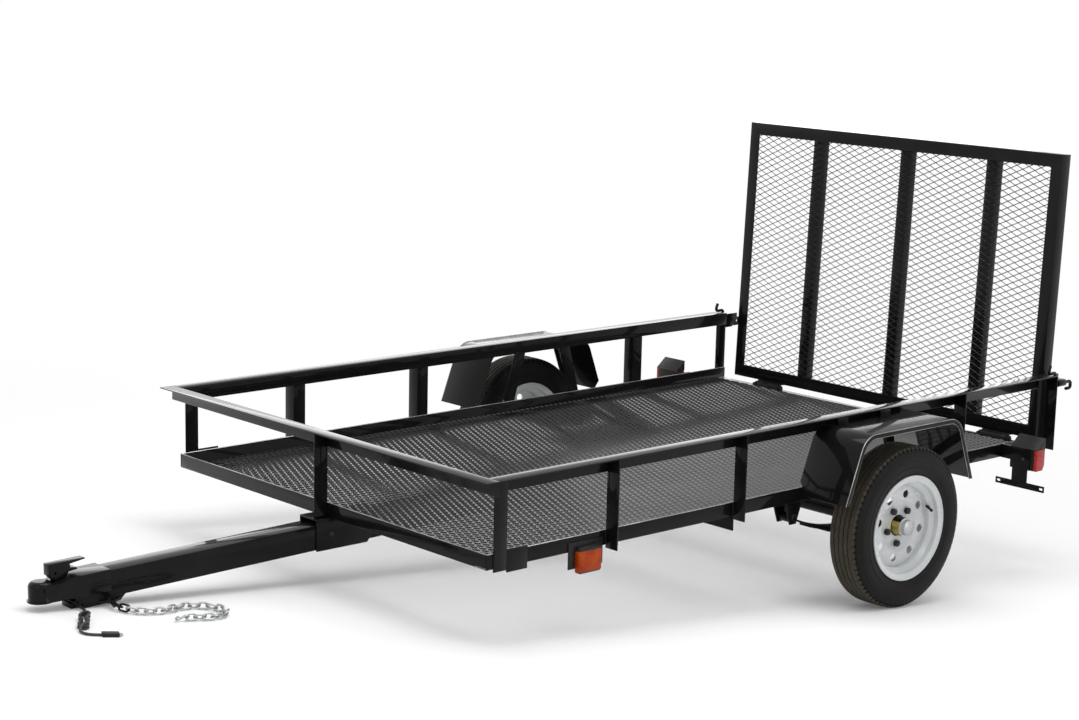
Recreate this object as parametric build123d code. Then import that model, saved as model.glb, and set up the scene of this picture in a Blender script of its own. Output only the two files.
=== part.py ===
"""Single-axle utility trailer with a mesh floor and a mesh ramp gate.

Lengths are millimetres. The chassis is drawn level, with +X forward to the coupler,
+Y to the left side and +Z up: x = 0 is the front face of the bed frame and z = 0 its
underside. The whole trailer is then put down as it parks without a jack, nose down,
with the chain plate under its coupler and both tyres on the floor.
"""
import math
import os

from build123d import *

# ---------------------------------------------------------------- bed and rails
BED_WIDTH = 1524.0          # outside of the side frame legs
BED_LENGTH = 2542.0         # front face to rear face of the bed frame
MESH_LAP = 42.0             # the mesh floor ends this far short of the bed's rear
RAIL_TOP = 262.0            # frame underside to the top of the rail
FRAME_LEG = 46.0            # upright leg of the bed frame angle
FLOOR_LEG = 50.8            # its flat leg, under the mesh
FRAME_WALL = 4.8
MEMBER_LEG = 46.0           # cross-members hang this far below the frame
MEMBER_FRONT = -983.0       # front face of the cross-member that ends the tongue
MEMBER_GAP = 9.0            # from the rear spring hangers to the one behind them
RAIL_LEG = 46.0             # top rail flange and leg
RAIL_WALL = 4.0
POST_LEG = 48.0
POST_WALL = 4.0
POST_DROP = 9.0             # posts reach below the frame
SIDE_POST_XS = (-450.0, -982.0)     # front faces of the side posts
REAR_POST_AHEAD = 508.0     # and of the last one, ahead of the bed's rear
CORNER_POST_FRONT = -22.0   # flat bar at the front corner
SPLICE_LENGTH = 76.4        # plate behind each corner post
SPLICE_Z = (-16.0, 51.0)
FRONT_POST_Y = 32.0         # left face of the post in the middle of the front

# ---------------------------------------------------------------- tongue and coupler
TONGUE_SIZE = 76.2
TONGUE_WALL = 3.2
TONGUE_DROP = 1.15          # degrees, nose down
TONGUE_TOP = -17.0          # top of the tongue under the bed's front face
COUPLER_REAR = 752.0        # rear edge of the coupler channel over the tongue
TONGUE_END = 862.0          # front end of the tongue inside it
SADDLE_FRONT = 47.0         # saddle that carries the tongue under the front frame
SADDLE_REAR = -188.0
SADDLE_WALL = 5.0
SADDLE_DEPTH = 98.0
COUPLER_TIP = 983.0
COUPLER_WALL = 4.0
COUPLER_SKIRT = 57.0        # depth of its sides below the tongue's top
COUPLER_NOSE = 905.0        # where the dome begins
NECK_DROP = 8.0             # neck's top before the dome, below the tongue's top
BALL_RADIUS = 25.4          # for a 2 in ball
BALL_PLAY = 0.8
DOME_RADIUS = 34.0
DOME_ROUND = 16.0
LIP_WIDTH = 4.0             # flared foot round the dome
LATCH_WIDTH = 28.0
LATCH_TOP = 44.0            # above the tongue's top
LATCH_FRONT = 929.0
LATCH_REAR = 885.0
LEVER_REAR = 815.0
LEVER_THICK = 6.0
TRIGGER_REACH = 46.0        # finger trigger behind the locking block
LATCH_PIN = 4.0             # radius of the locking pin's hole
LATCH_PIN_Z = 16.0
CHAIN_PLATE_FRONT = 836.0
CHAIN_PLATE_REAR = 698.0
CHAIN_PLATE_DEPTH = 19.0    # below the tongue
CHAIN_PLATE_WIDTH = 60.0
CHAIN_BLOCK_FRONT = 870.0
CHAIN_BLOCK_DEPTH = 14.0
LOOP_RADIUS = 3.5           # rod of the chain loops
LOOP_REACH = 56.0           # their outermost point from the middle
LOOP_X = 755.0
LOOP_SPAN = 70.0

# ---------------------------------------------------------------- chains and wiring
LINK_LENGTH = 39.4
LINK_WIDTH = 25.0
LINK_WIRE = 6.5
LINK_SLACK = 1.2
HOOK_RADIUS = 9.0           # of each bend of the S-hooks, to the rod's middle
HOOK_WIRE = 6.0
HOOK_SHANK = 12.0           # straight part between the bends
HOOK_TURN = 215.0           # degrees that each bend turns
HOOK_FACETS = 5             # flats in each bend
CORD_RADIUS = 4.0
HANK_LENGTH = 132.0
HANK_WIDTH = 44.0
HANK_HEIGHT = 24.0
PLUG_SIZE = (46.0, 24.0, 11.0)

# ---------------------------------------------------------------- running gear
TYRE_RADIUS = 260.0
TYRE_WIDTH = 122.0
TREAD_WIDTH = 90.0
SHOULDER_DROP = 12.0        # shoulder inside the tread's radius
SHOULDER_OUT = 5.0          # and outside its width
FLANK_RADIUS = 209.0        # where the tyre is widest
UPPER_FLANK = (236.0, 4.0)  # radius, and how far inside the tyre's width
BEAD_WIDTH = 13.4
BEAD_FLARE = 3.0
RIM_SEAT = 152.4            # bead seat radius of a 12 in rim
RIM_LIP = 169.0
RIM_WIDTH = 118.0
RIM_WELL = 137.0
RIM_WALL = 3.0
RIM_FLANGE = 8.0            # width of each curled edge
RIM_LEDGE = 23.0            # the bead seats end this far inside the edges
WELL_SLOPE = 10.0
WHEEL_X = -1580.0
WHEEL_OUT = 143.0           # middle plane of a wheel outboard of the frame
WHEEL_Z = -91.0
STUD_CIRCLE = 57.15         # radius, five studs
STUD_COUNT = 5
STUD_PHASE = 132.0          # degrees
STUD_RADIUS = 6.35
NUT_RADIUS = 11.0
NUT_LENGTH = 12.0
HAND_HOLES = 8
HAND_HOLE_PHASE = 13.0      # degrees
HAND_HOLE_CIRCLE = 103.0
HAND_HOLE_RADIUS = 13.0
HUB_HOLE = 34.0             # centre hole of the disc, radius
HUB_FLANGE = 72.0
HUB_BARREL = 36.0
HUB_NOSE = 30.0
NOSE_LENGTH = 34.0          # from the wheel's mounting face to the dust cap
CAP_RADIUS = 25.0
CAP_TIP = 63.0              # outboard of the wheel's middle plane
AXLE_RADIUS = 25.4
AXLE_OUT = 64.0             # shoulder of the axle tube outboard of the frame
SPINDLE_RADIUS = 15.0
SPINDLE_PLAY = 0.05
SPRING_SPAN = 641.0         # eye to eye
SPRING_WIDTH = 44.5
SPRING_LEAF = 6.4
SPRING_LEAVES = (1.0, 0.72, 0.44)   # share of the span, from the top
SPRING_IN = 29.0            # middle of a spring inboard of the frame's outside
EYE_RADIUS = 14.0
EYE_BORE = 7.0
BOLT_RADIUS = 6.7
EYE_Z = -52.0
HANGER_WALL = 5.0
HANGER_HALF = 32.0          # half the length of the front hangers
BLOCK_HALF = 26.0           # and of the rear ones
SHACKLE_RISE = 30.0         # upper shackle bolt above the rear eye
SHACKLE_BACK = 24.5         # and behind it
U_BOLT_RADIUS = 5.0
TIE_PLATE = (96.0, 84.0, 8.0)

# ---------------------------------------------------------------- fenders
FENDER_GAP = 0.6            # between a fender and its braces
FENDER_WIDTH = 202.5
FENDER_AHEAD = 9.0          # middle of a fender ahead of the axle
FENDER_TOP = 238.0
FENDER_FOOT = 28.0
FENDER_WALL = 2.5
FENDER_BOTTOM = 618.0       # length between the feet
FENDER_ROOF = 458.0         # length of the top before its corners are rounded
FENDER_CORNER = 70.0
FENDER_LIP = 14.0
FENDER_CHAMFER = 39.0       # cut off the inner corner of each skirt
BRACE_WIDTH = 50.0
BRACE_WALL = 4.9
BRACE_FOOT = 171.0          # middle of a brace's foot from the fender's middle
BRACE_HEAD = 98.0

# ---------------------------------------------------------------- lamps
LAMP_REAR = 186.0               # rear face of the tail lamps ahead of the bed's rear
LAMP_DEPTH = 45.0
LAMP_OUT = 37.0                 # inner side of the lamps outboard of the frame
LAMP_WIDTH = 108.0
LAMP_Z = (-26.0, 84.0)
LAMP_SLOPE = 37.0               # the top falls this far towards the front
LENS_WALL = 12.0
LAMP_BRACKET = 4.0
LAMP_TAB = 38.0                 # its tab along the frame
LICENCE_WIDTH = 198.0           # licence plate bar under the left lamp
LICENCE_IN = 15.0               # its inner end inboard of the frame's outside
LICENCE_Z = (-91.0, -70.0)
LICENCE_NECK = (4.0, 83.0)      # its neck, outboard of the lamp's inner side
SLOT_WIDTH = 8.0
MARKER_X = (-417.0, -328.0)     # amber side marker lamps
MARKER_Z = (-64.0, 14.0)
MARKER_DEPTH = 20.0

# ---------------------------------------------------------------- ramp gate
GATE_SIDE = 37.0            # gate inside the bed's width on each side
GATE_HEIGHT = 995.0
GATE_FOOT = 18.0            # underside of the gate above the frame underside
GATE_GAP = 21.0             # front face at its foot behind the bed
GATE_LEAN = 2.4             # degrees, leaning rearward when latched
GATE_LEG = 46.0
GATE_WALL = 4.0
GATE_UPRIGHT_YS = (-382.5, 37.5, 424.5)
UPRIGHT_LEG = 36.0
HINGE_RADIUS = 15.0
HINGE_PIN = 8.0
HINGE_PLAY = 0.05
HINGE_LENGTH = 112.0
HINGE_IN = 182.5            # middle of a hinge inboard of the gate's side
HINGE_Z = 0.0
HINGE_EAR = 8.0
HINGE_GAP = 1.0             # each side of a barrel
HINGE_WALL = 4.0
BOLT_STRAP = (21.0, 63.0)       # straps of the gate's bolts, behind the bed
BOLT_ROD = 6.0                  # radius of the bolts, each bent from one bar
STRAP_WALL = 6.2
BOLT_OUT = 5.5                  # clearance of the straps inside the rail flange's edge
BOLT_DROP = 32.5                # middle of the bolts below the rail's top
BOLT_PLATE = (27.0, 26.0)       # bracket above and below their middle
BOLT_REAR = 107.2               # rear end of the bolts behind the bed
BOLT_HOOK = (24.0, 26.0)        # how far their ends turn down, and forward again
HANDLE_AHEAD = 32.0             # foot of a handle ahead of the bed's rear
HANDLE_RISE = 35.0              # its tip above the rail's top
HANDLE_LEAN = 11.0              # and behind its foot

# ---------------------------------------------------------------- mesh
MESH_LONG = 254.0           # one diamond, long way across the bed
MESH_SHORT = 127.0
MESH_STRAND = 12.0
MESH_THICK = 4.0

SEAT = 0.3                  # fit between pieces that are set against each other
HALF = BED_WIDTH / 2
HALF_TONGUE = TONGUE_SIZE / 2
MESH_REAR = MESH_LAP - BED_LENGTH
SHACKLE_X = WHEEL_X - SPRING_SPAN / 2 - SHACKLE_BACK
WHEEL_Y = HALF + WHEEL_OUT
AXLE_HALF = HALF + AXLE_OUT
SPRING_Y = HALF - SPRING_IN
FENDER_INNER = HALF + SEAT + BRACE_WALL + FENDER_GAP / 2
FENDER_OUTER = FENDER_INNER + FENDER_WIDTH
FENDER_X = WHEEL_X + FENDER_AHEAD
LAMP_X = (LAMP_REAR - BED_LENGTH, LAMP_REAR - BED_LENGTH + LAMP_DEPTH)
LAMP_Y = (HALF + LAMP_OUT, HALF + LAMP_OUT + LAMP_WIDTH)
GATE_FACE = -BED_LENGTH - GATE_GAP
GATE_WIDTH = BED_WIDTH - 2 * GATE_SIDE
HINGE_Y = GATE_WIDTH / 2 - HINGE_IN
PARTS = {}                  # drawn level, parked at the end
FLOOR_PARTS = {}            # limp pieces, drawn where they lie on the floor


# ---------------------------------------------------------------- shared shapes
def box(x0, x1, y0, y1, z0, z1):
    """Box between two corners."""
    middle = ((x0 + x1) / 2, (y0 + y1) / 2, (z0 + z1) / 2)
    return Pos(*middle) * Box(abs(x1 - x0), abs(y1 - y0), abs(z1 - z0))


def angle_bar(heel, run, length, leg_a, leg_b, size_a, size_b, wall):
    """Steel angle from its heel corner along run, with legs towards leg_a and leg_b."""
    run, leg_a, leg_b, origin = Vector(run), Vector(leg_a), Vector(leg_b), Vector(heel)
    if run.cross(leg_a).dot(leg_b) < 0:
        origin = origin + run * length
        run = run * -1
    plane = Plane(origin=origin, x_dir=leg_a, z_dir=run)
    outline = Polyline((0, 0), (size_a, 0), (size_a, wall), (wall, wall),
                       (wall, size_b), (0, size_b), close=True)
    return extrude(plane * make_face(outline), length)


def rod(start, end, radius):
    """Round bar between two points."""
    start, end = Vector(start), Vector(end)
    plane = Plane(origin=start, z_dir=end - start)
    return extrude(plane * Circle(radius), (end - start).length)


def bent_rod(path, radius):
    """Round bar along a path."""
    return sweep(Plane(origin=path @ 0, z_dir=path % 0) * Circle(radius), path=path)


def bent_bar(path, radius):
    """Bar along a path, drawn with eight flats."""
    start = Plane(origin=path @ 0, z_dir=path % 0)
    return sweep(start * RegularPolygon(radius, 8), path=path)


def side_plane(y):
    """Plane across the trailer whose axes are x and z."""
    return Plane(origin=(0, y, 0), x_dir=(1, 0, 0), z_dir=(0, -1, 0))


def plate(face, y0, y1):
    """Solid between two values of y from a face drawn in x and z."""
    return extrude(side_plane(y0) * face, y0 - y1)


def slab(points, y0, y1):
    """Plate with a straight-sided outline in x and z, between two values of y."""
    return plate(make_face(Polyline(*points, close=True)), y0, y1)


def turned(points, x, y, z):
    """Solid of revolution about a lateral axis, from offsets along it and radii."""
    profile = Plane(origin=(x, y, z), x_dir=(0, 1, 0), z_dir=(1, 0, 0)) * make_face(
        Polyline(*points, close=True))
    return revolve(profile, Axis((x, y, z), (0, 1, 0)))


def group(*shapes):
    """Several solids that share a node."""
    return Compound([solid for shape in shapes for solid in shape.solids()])


def mirrored(shape):
    """The same piece on the other side of the trailer."""
    return mirror(shape, about=Plane.XZ)


def side_pair(name, shape):
    """One node for each side."""
    PARTS[name + "_left"] = shape
    PARTS[name + "_right"] = mirrored(shape)


def cut_to(corners, half_width, half_height):
    """Convex outline cut to a rectangle about the origin."""
    for axis, sign, reach in ((0, 1, half_width), (0, -1, half_width),
                              (1, 1, half_height), (1, -1, half_height)):
        kept = []
        for here, after in zip(corners, corners[1:] + corners[:1]):
            inside, next_inside = sign * here[axis] <= reach, sign * after[axis] <= reach
            if inside:
                kept.append(here)
            if inside != next_inside:
                share = (sign * reach - here[axis]) / (after[axis] - here[axis])
                kept.append(tuple(p + share * (q - p) for p, q in zip(here, after)))
        corners = kept
    return corners


def diamond_sheet(width, height, thick):
    """Sheet with diamond openings, long way along x, centred on the origin."""
    half_long = MESH_LONG / 2 - MESH_STRAND
    half_short = half_long * MESH_SHORT / MESH_LONG
    half_width, half_height = width / 2 - MESH_STRAND, height / 2 - MESH_STRAND
    rows = 2 * math.ceil(half_height / MESH_SHORT)
    columns = math.ceil(half_width / MESH_LONG)
    openings = []
    for row in range(-rows, rows + 1):
        y = row * MESH_SHORT / 2
        for column in range(-columns, columns + 1):
            x = (column + row % 2 / 2) * MESH_LONG
            corners = cut_to([(x - half_long, y), (x, y - half_short),
                              (x + half_long, y), (x, y + half_short)],
                             half_width, half_height)
            if len(corners) < 3:
                continue
            opening = Face(Wire.make_polygon([Vector(*corner) for corner in corners]))
            if opening.area > 4 * MESH_STRAND ** 2:
                openings.append(opening.outer_wire())
    border = Wire.make_rect(width, height)
    return extrude(Face(border, openings), thick, dir=(0, 0, 1))


# ---------------------------------------------------------------- bed frame
def side_frames():
    """Angles down each side, upright leg outside and flat leg inward."""
    bar = angle_bar((-BED_LENGTH, HALF, 0), (1, 0, 0), BED_LENGTH,
                    (0, 0, 1), (0, -1, 0), FRAME_LEG, FLOOR_LEG, FRAME_WALL)
    side_pair("frame", bar)


def front_frame():
    """Angle between the side frames, its flat leg notched round theirs."""
    half = HALF - FRAME_WALL
    bar = angle_bar((0, -half, 0), (0, 1, 0), 2 * half, (0, 0, 1), (-1, 0, 0),
                    FRAME_LEG, FLOOR_LEG, FRAME_WALL)
    for side in (1, -1):
        bar -= box(-FLOOR_LEG, 0, side * (HALF - FLOOR_LEG), side * HALF, 0, FRAME_WALL)
    PARTS["frame_front"] = bar


def cross_member(face_x):
    """Angle across the bed: its flat leg lies level with the side frames' flat legs."""
    bar = angle_bar((face_x, -HALF, FRAME_WALL), (0, 1, 0), BED_WIDTH, (0, 0, -1),
                    (-1, 0, 0), MEMBER_LEG + FRAME_WALL, FLOOR_LEG, FRAME_WALL)
    for side in (1, -1):
        bar -= box(face_x, face_x - FLOOR_LEG, side * (HALF - FLOOR_LEG), side * HALF,
                   0, FRAME_WALL)
    return bar


def cross_members():
    """Middle cross-members, and the rear one that carries the gate."""
    behind = SHACKLE_X - BLOCK_HALF - MEMBER_GAP
    PARTS["cross_members"] = group(cross_member(MEMBER_FRONT), cross_member(behind))
    PARTS["frame_rear"] = mirror(cross_member(BED_LENGTH), about=Plane.YZ)


def floor_mesh():
    """Expanded sheet on the flat legs, inside the upright ones."""
    width = BED_WIDTH - 2 * (FRAME_WALL + SEAT)
    front = -FRAME_WALL - SEAT
    sheet = Rot(0, 0, 90) * diamond_sheet(width, front - MESH_REAR, MESH_THICK)
    PARTS["floor_mesh"] = Pos((front + MESH_REAR) / 2, 0, FRAME_WALL) * sheet


# ---------------------------------------------------------------- rails and posts
def top_rails():
    """Angle rails, flange outward over the posts and leg down inside them."""
    reach = RAIL_LEG + RAIL_WALL
    PARTS["rail_front"] = angle_bar(
        (-RAIL_WALL, -HALF - RAIL_LEG, RAIL_TOP), (0, 1, 0), BED_WIDTH + 2 * RAIL_LEG,
        (1, 0, 0), (0, 0, -1), reach, RAIL_LEG, RAIL_WALL)
    length = BED_LENGTH - RAIL_WALL
    side_pair("rail", angle_bar((-BED_LENGTH, HALF - RAIL_WALL, RAIL_TOP), (1, 0, 0),
                                length, (0, 1, 0), (0, 0, -1), reach, RAIL_LEG,
                                RAIL_WALL))


def post(heel, out, along, foot):
    """Upright angle: one leg flat on the frame along it, the other pointing out."""
    height = RAIL_TOP - RAIL_WALL - foot
    return angle_bar((*heel, foot), (0, 0, 1), height, out, along, POST_LEG, POST_LEG,
                     POST_WALL)


def posts():
    """Posts outside the frame, under the rail flanges, and a splice plate."""
    fronts = (*SIDE_POST_XS, REAR_POST_AHEAD - BED_LENGTH)
    side = [post((x, HALF), (0, 1, 0), (-1, 0, 0), -POST_DROP) for x in fronts]
    corner = CORNER_POST_FRONT - POST_LEG
    side.append(box(corner, CORNER_POST_FRONT, HALF, HALF + POST_WALL, -POST_DROP,
                    RAIL_TOP - RAIL_WALL))
    side.append(post((-BED_LENGTH, HALF), (0, 1, 0), (1, 0, 0), 0))
    splice = corner - 2 * SEAT
    side.append(box(splice - SPLICE_LENGTH, splice, HALF, HALF + POST_WALL, *SPLICE_Z))
    side_pair("posts", group(*side))
    PARTS["post_front"] = post((0, FRONT_POST_Y), (1, 0, 0), (0, -1, 0), 0)


# ---------------------------------------------------------------- tongue
TONGUE = Location((0, 0, TONGUE_TOP), (0, TONGUE_DROP, 0))


def tongue():
    """Square tube from inside the coupler back to the middle cross-member."""
    length = TONGUE_END - MEMBER_FRONT + TONGUE_SIZE
    outer = box(TONGUE_END - length, TONGUE_END, -HALF_TONGUE, HALF_TONGUE,
                -TONGUE_SIZE, 0)
    inside = HALF_TONGUE - TONGUE_WALL
    inner = box(TONGUE_END - length, TONGUE_END, -inside, inside,
                -TONGUE_SIZE + TONGUE_WALL, -TONGUE_WALL)
    tube = TONGUE * (outer - inner)
    behind = box(MEMBER_FRONT + SEAT, MEMBER_FRONT - 4 * TONGUE_SIZE, -HALF, HALF,
                 -4 * TONGUE_SIZE, TONGUE_SIZE)
    PARTS["tongue_tube"] = tube - behind


def tongue_saddle():
    """Channel under the front frame that the tongue is bolted up into."""
    half = HALF_TONGUE + SEAT
    outer = half + SADDLE_WALL
    saddle = box(SADDLE_REAR, SADDLE_FRONT, -outer, outer, -SADDLE_WALL, 0)
    heel = SADDLE_REAR + 1.2 * HALF_TONGUE
    for side in (1, -1):
        saddle += slab(((SADDLE_FRONT, 0), (SADDLE_REAR, 0), (SADDLE_REAR, -HALF_TONGUE),
                        (heel, -SADDLE_DEPTH), (SADDLE_FRONT, -SADDLE_DEPTH)),
                       side * half, side * outer)
    PARTS["tongue_saddle"] = saddle


# ---------------------------------------------------------------- coupler
def dome(radius, top, foot, rounding):
    """Upright round nose of the coupler with a rounded top edge."""
    nose = Pos(COUPLER_TIP - DOME_RADIUS, 0, (top + foot) / 2) * Cylinder(
        radius, top - foot)
    return fillet(nose.edges().sort_by(Axis.Z)[-1], rounding)


def coupler():
    """Pressed channel over the tongue that narrows to a dome with the ball socket."""
    half = HALF_TONGUE + SEAT
    nose_x = COUPLER_TIP - DOME_RADIUS
    neck_rear = TONGUE_END - 12
    plan = make_face(Polyline(
        (COUPLER_REAR, -half - COUPLER_WALL), (neck_rear, -half - COUPLER_WALL),
        (nose_x, -DOME_RADIUS), (nose_x, DOME_RADIUS),
        (neck_rear, half + COUPLER_WALL), (COUPLER_REAR, half + COUPLER_WALL),
        close=True))
    side = ((COUPLER_REAR, COUPLER_WALL + SEAT), (TONGUE_END, COUPLER_WALL + SEAT),
            (COUPLER_NOSE, -NECK_DROP), (nose_x, -NECK_DROP), (nose_x, -COUPLER_SKIRT),
            (COUPLER_REAR, -COUPLER_SKIRT))
    neck = extrude(Pos(0, 0, -COUPLER_SKIRT) * plan, COUPLER_SKIRT + 2 * COUPLER_WALL,
                   dir=(0, 0, 1)) & slab(side, -half - COUPLER_WALL, half + COUPLER_WALL)
    lip = Pos(nose_x, 0, -COUPLER_SKIRT + COUPLER_WALL / 2) * Cylinder(
        DOME_RADIUS + LIP_WIDTH, COUPLER_WALL)
    body = neck + dome(DOME_RADIUS, SEAT, -COUPLER_SKIRT, DOME_ROUND) + lip
    inner_plan = make_face(Polyline(
        (COUPLER_REAR, -half), (TONGUE_END, -half), (nose_x, -14), (nose_x, 14),
        (TONGUE_END, half), (COUPLER_REAR, half), close=True))
    inner_side = ((COUPLER_REAR, SEAT), (TONGUE_END, SEAT),
                  (COUPLER_NOSE, -NECK_DROP - COUPLER_WALL),
                  (nose_x, -NECK_DROP - COUPLER_WALL),
                  (nose_x, -COUPLER_SKIRT), (COUPLER_REAR, -COUPLER_SKIRT))
    body -= extrude(Pos(0, 0, -COUPLER_SKIRT) * inner_plan, COUPLER_SKIRT + COUPLER_WALL,
                    dir=(0, 0, 1)) & slab(inner_side, -half, half)
    ball = BALL_RADIUS + BALL_PLAY
    ball_z = SEAT - COUPLER_WALL - ball
    body -= Pos(nose_x, 0, ball_z) * Sphere(ball)
    body -= Pos(nose_x, 0, (ball_z - COUPLER_SKIRT) / 2) * Cylinder(
        ball, ball_z + COUPLER_SKIRT)
    PARTS["coupler_body"] = TONGUE * body


def coupler_latch():
    """Locking block on the coupler's neck with its lever and finger trigger."""
    half = LATCH_WIDTH / 2
    rear_foot = LATCH_REAR - 10
    trigger = LATCH_REAR - TRIGGER_REACH
    fall = (COUPLER_WALL + SEAT + NECK_DROP) / (COUPLER_NOSE - TONGUE_END)
    rear_z = COUPLER_WALL + 2 * SEAT - fall * (rear_foot - TONGUE_END)
    outline = ((rear_foot, rear_z), (COUPLER_NOSE, SEAT - NECK_DROP),
               (LATCH_FRONT - 18, SEAT - NECK_DROP), (LATCH_FRONT, 12),
               (LATCH_FRONT, LATCH_TOP), (LEVER_REAR, LATCH_TOP),
               (LEVER_REAR, LATCH_TOP - LEVER_THICK / 2),
               (LATCH_REAR - 22, LATCH_TOP - 1.5 * LEVER_THICK),
               (LATCH_REAR - 24, LATCH_TOP - 20), (trigger + 4, LATCH_TOP - 22),
               (trigger, LATCH_TOP - 28), (LATCH_REAR - 18, LATCH_TOP - 30))
    block = slab(outline, -half, half)
    pin_x = LATCH_FRONT - 20
    block -= rod((pin_x, -half, LATCH_PIN_Z), (pin_x, half, LATCH_PIN_Z), LATCH_PIN)
    PARTS["coupler_latch"] = TONGUE * block


def chain_plate():
    """Folded plate under the tongue with a rod loop on each side for a chain."""
    half = CHAIN_PLATE_WIDTH / 2
    top = -TONGUE_SIZE - SEAT
    foot = -TONGUE_SIZE - CHAIN_PLATE_DEPTH
    ramp = CHAIN_PLATE_DEPTH
    shoe = slab(((CHAIN_PLATE_REAR, top), (CHAIN_PLATE_REAR + ramp, foot),
                 (CHAIN_PLATE_FRONT, foot), (CHAIN_PLATE_FRONT, top)), -half, half)
    shoe += box(CHAIN_PLATE_FRONT, CHAIN_BLOCK_FRONT, -half + 5, half - 5,
                top - CHAIN_BLOCK_DEPTH, top)
    z = (top + foot) / 2
    for side in (1, -1):
        root = side * (half - LOOP_RADIUS)
        tip = side * (LOOP_REACH - LOOP_RADIUS)
        path = FilletPolyline((LOOP_X - LOOP_SPAN / 2, root, z), (LOOP_X - 12, tip, z),
                              (LOOP_X + 12, tip, z), (LOOP_X + LOOP_SPAN / 2, root, z),
                              radius=2 * LOOP_RADIUS)
        shoe += bent_rod(path, LOOP_RADIUS)
    PARTS["chain_plate"] = TONGUE * shoe


# ---------------------------------------------------------------- wheels
def tyre():
    """Tyre with rounded flanks and square shoulders."""
    half, tread = TYRE_WIDTH / 2, TREAD_WIDTH / 2
    seat = RIM_WIDTH / 2 - RIM_FLANGE - 2 * SEAT
    left = [(seat - BEAD_WIDTH, RIM_SEAT + SEAT), (seat, RIM_SEAT + SEAT),
            (seat + BEAD_FLARE, RIM_LIP + 5 * SEAT), (half, FLANK_RADIUS),
            (half - UPPER_FLANK[1], UPPER_FLANK[0]),
            (tread + SHOULDER_OUT, TYRE_RADIUS - SHOULDER_DROP), (tread, TYRE_RADIUS)]
    right = [(-y, radius) for y, radius in reversed(left)]
    return turned(left + right, WHEEL_X, WHEEL_Y, WHEEL_Z)


def rim():
    """Steel wheel: rolled barrel and a dished disc with round hand holes."""
    half = RIM_WIDTH / 2
    well = (half - RIM_LEDGE, half - RIM_LEDGE - WELL_SLOPE)
    barrel = [(half, RIM_LIP), (half - 5, RIM_LIP), (half - RIM_FLANGE, RIM_SEAT),
              (well[0], RIM_SEAT), (well[1], RIM_WELL)]
    inside = [(half, RIM_LIP - RIM_WALL), (half - 2.5, RIM_LIP - RIM_WALL),
              (half - 5.5, RIM_SEAT - RIM_WALL), (well[0] + 1.5, RIM_SEAT - RIM_WALL),
              (well[1] + 1.5, RIM_WELL - RIM_WALL)]
    outline = barrel + [(-y, radius) for y, radius in reversed(barrel)]
    outline += inside_out(inside)
    wheel = turned(outline, WHEEL_X, WHEEL_Y, WHEEL_Z)
    edge = RIM_WELL - RIM_WALL / 2
    disc = ((11, HUB_HOLE), (11, 74), (19, 88), (19, 118), (12, edge), (-8, edge),
            (-8, edge - RIM_WALL), (9.5, edge - RIM_WALL), (16, 117), (16, 89.5),
            (8, 75.5), (8, HUB_HOLE))
    wheel += turned(disc, WHEEL_X, WHEEL_Y, WHEEL_Z)
    for index in range(HAND_HOLES):
        x, z = wheel_point(HAND_HOLE_CIRCLE, HAND_HOLE_PHASE + 360 / HAND_HOLES * index)
        wheel -= rod((x, WHEEL_Y, z), (x, WHEEL_Y + half, z), HAND_HOLE_RADIUS)
    for x, z in stud_points():
        wheel -= rod((x, WHEEL_Y, z), (x, WHEEL_Y + half, z), STUD_RADIUS + SEAT)
    return wheel


def inside_out(points):
    """The inner side of a symmetrical section, from its far end back."""
    return [(-y, radius) for y, radius in points] + list(reversed(points))


def wheel_point(radius, angle):
    """Point in x and z at an angle round the axle, from straight ahead."""
    turn = math.radians(angle)
    return WHEEL_X + radius * math.cos(turn), WHEEL_Z + radius * math.sin(turn)


def stud_points():
    """Centres of the wheel studs."""
    step = 360 / STUD_COUNT
    return [wheel_point(STUD_CIRCLE, STUD_PHASE + step * k) for k in range(STUD_COUNT)]


def hub():
    """Hub with its flange, dust cap, studs and nuts, bored to turn on the spindle."""
    face = 8 - SEAT
    back = AXLE_HALF - WHEEL_Y + 4
    bore = SPINDLE_RADIUS + SPINDLE_PLAY
    nose = face + NOSE_LENGTH
    blind = HUB_NOSE - 2
    points = ((back, bore), (back, HUB_BARREL - 4), (back + 8, HUB_BARREL),
              (face - 9, HUB_BARREL), (face - 9, HUB_FLANGE), (face, HUB_FLANGE),
              (face, HUB_NOSE), (nose, HUB_NOSE), (nose, CAP_RADIUS),
              (CAP_TIP - 5, CAP_RADIUS), (CAP_TIP, CAP_RADIUS - 7), (CAP_TIP, 0),
              (blind, 0), (blind, bore))
    body = turned(points, WHEEL_X, WHEEL_Y, WHEEL_Z)
    nut_foot = WHEEL_Y + 11 + SEAT
    for x, z in stud_points():
        body += rod((x, WHEEL_Y, z), (x, nut_foot + NUT_LENGTH + 2, z), STUD_RADIUS)
        hexagon = side_plane(nut_foot) * Pos(x, z) * RegularPolygon(NUT_RADIUS, 6)
        body += extrude(hexagon, -NUT_LENGTH)
    return body


def wheels():
    """Tyre, rim and hub on each side."""
    side_pair("tyre", tyre())
    side_pair("rim", rim())
    side_pair("hub", hub())


# ---------------------------------------------------------------- axle and springs
def axle():
    """Round axle tube with a spindle at each end."""
    beam = rod((WHEEL_X, -AXLE_HALF, WHEEL_Z), (WHEEL_X, AXLE_HALF, WHEEL_Z), AXLE_RADIUS)
    tip = WHEEL_Y + HUB_NOSE - 6
    beam += rod((WHEEL_X, -tip, WHEEL_Z), (WHEEL_X, tip, WHEEL_Z), SPINDLE_RADIUS)
    PARTS["axle_beam"] = beam


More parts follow.
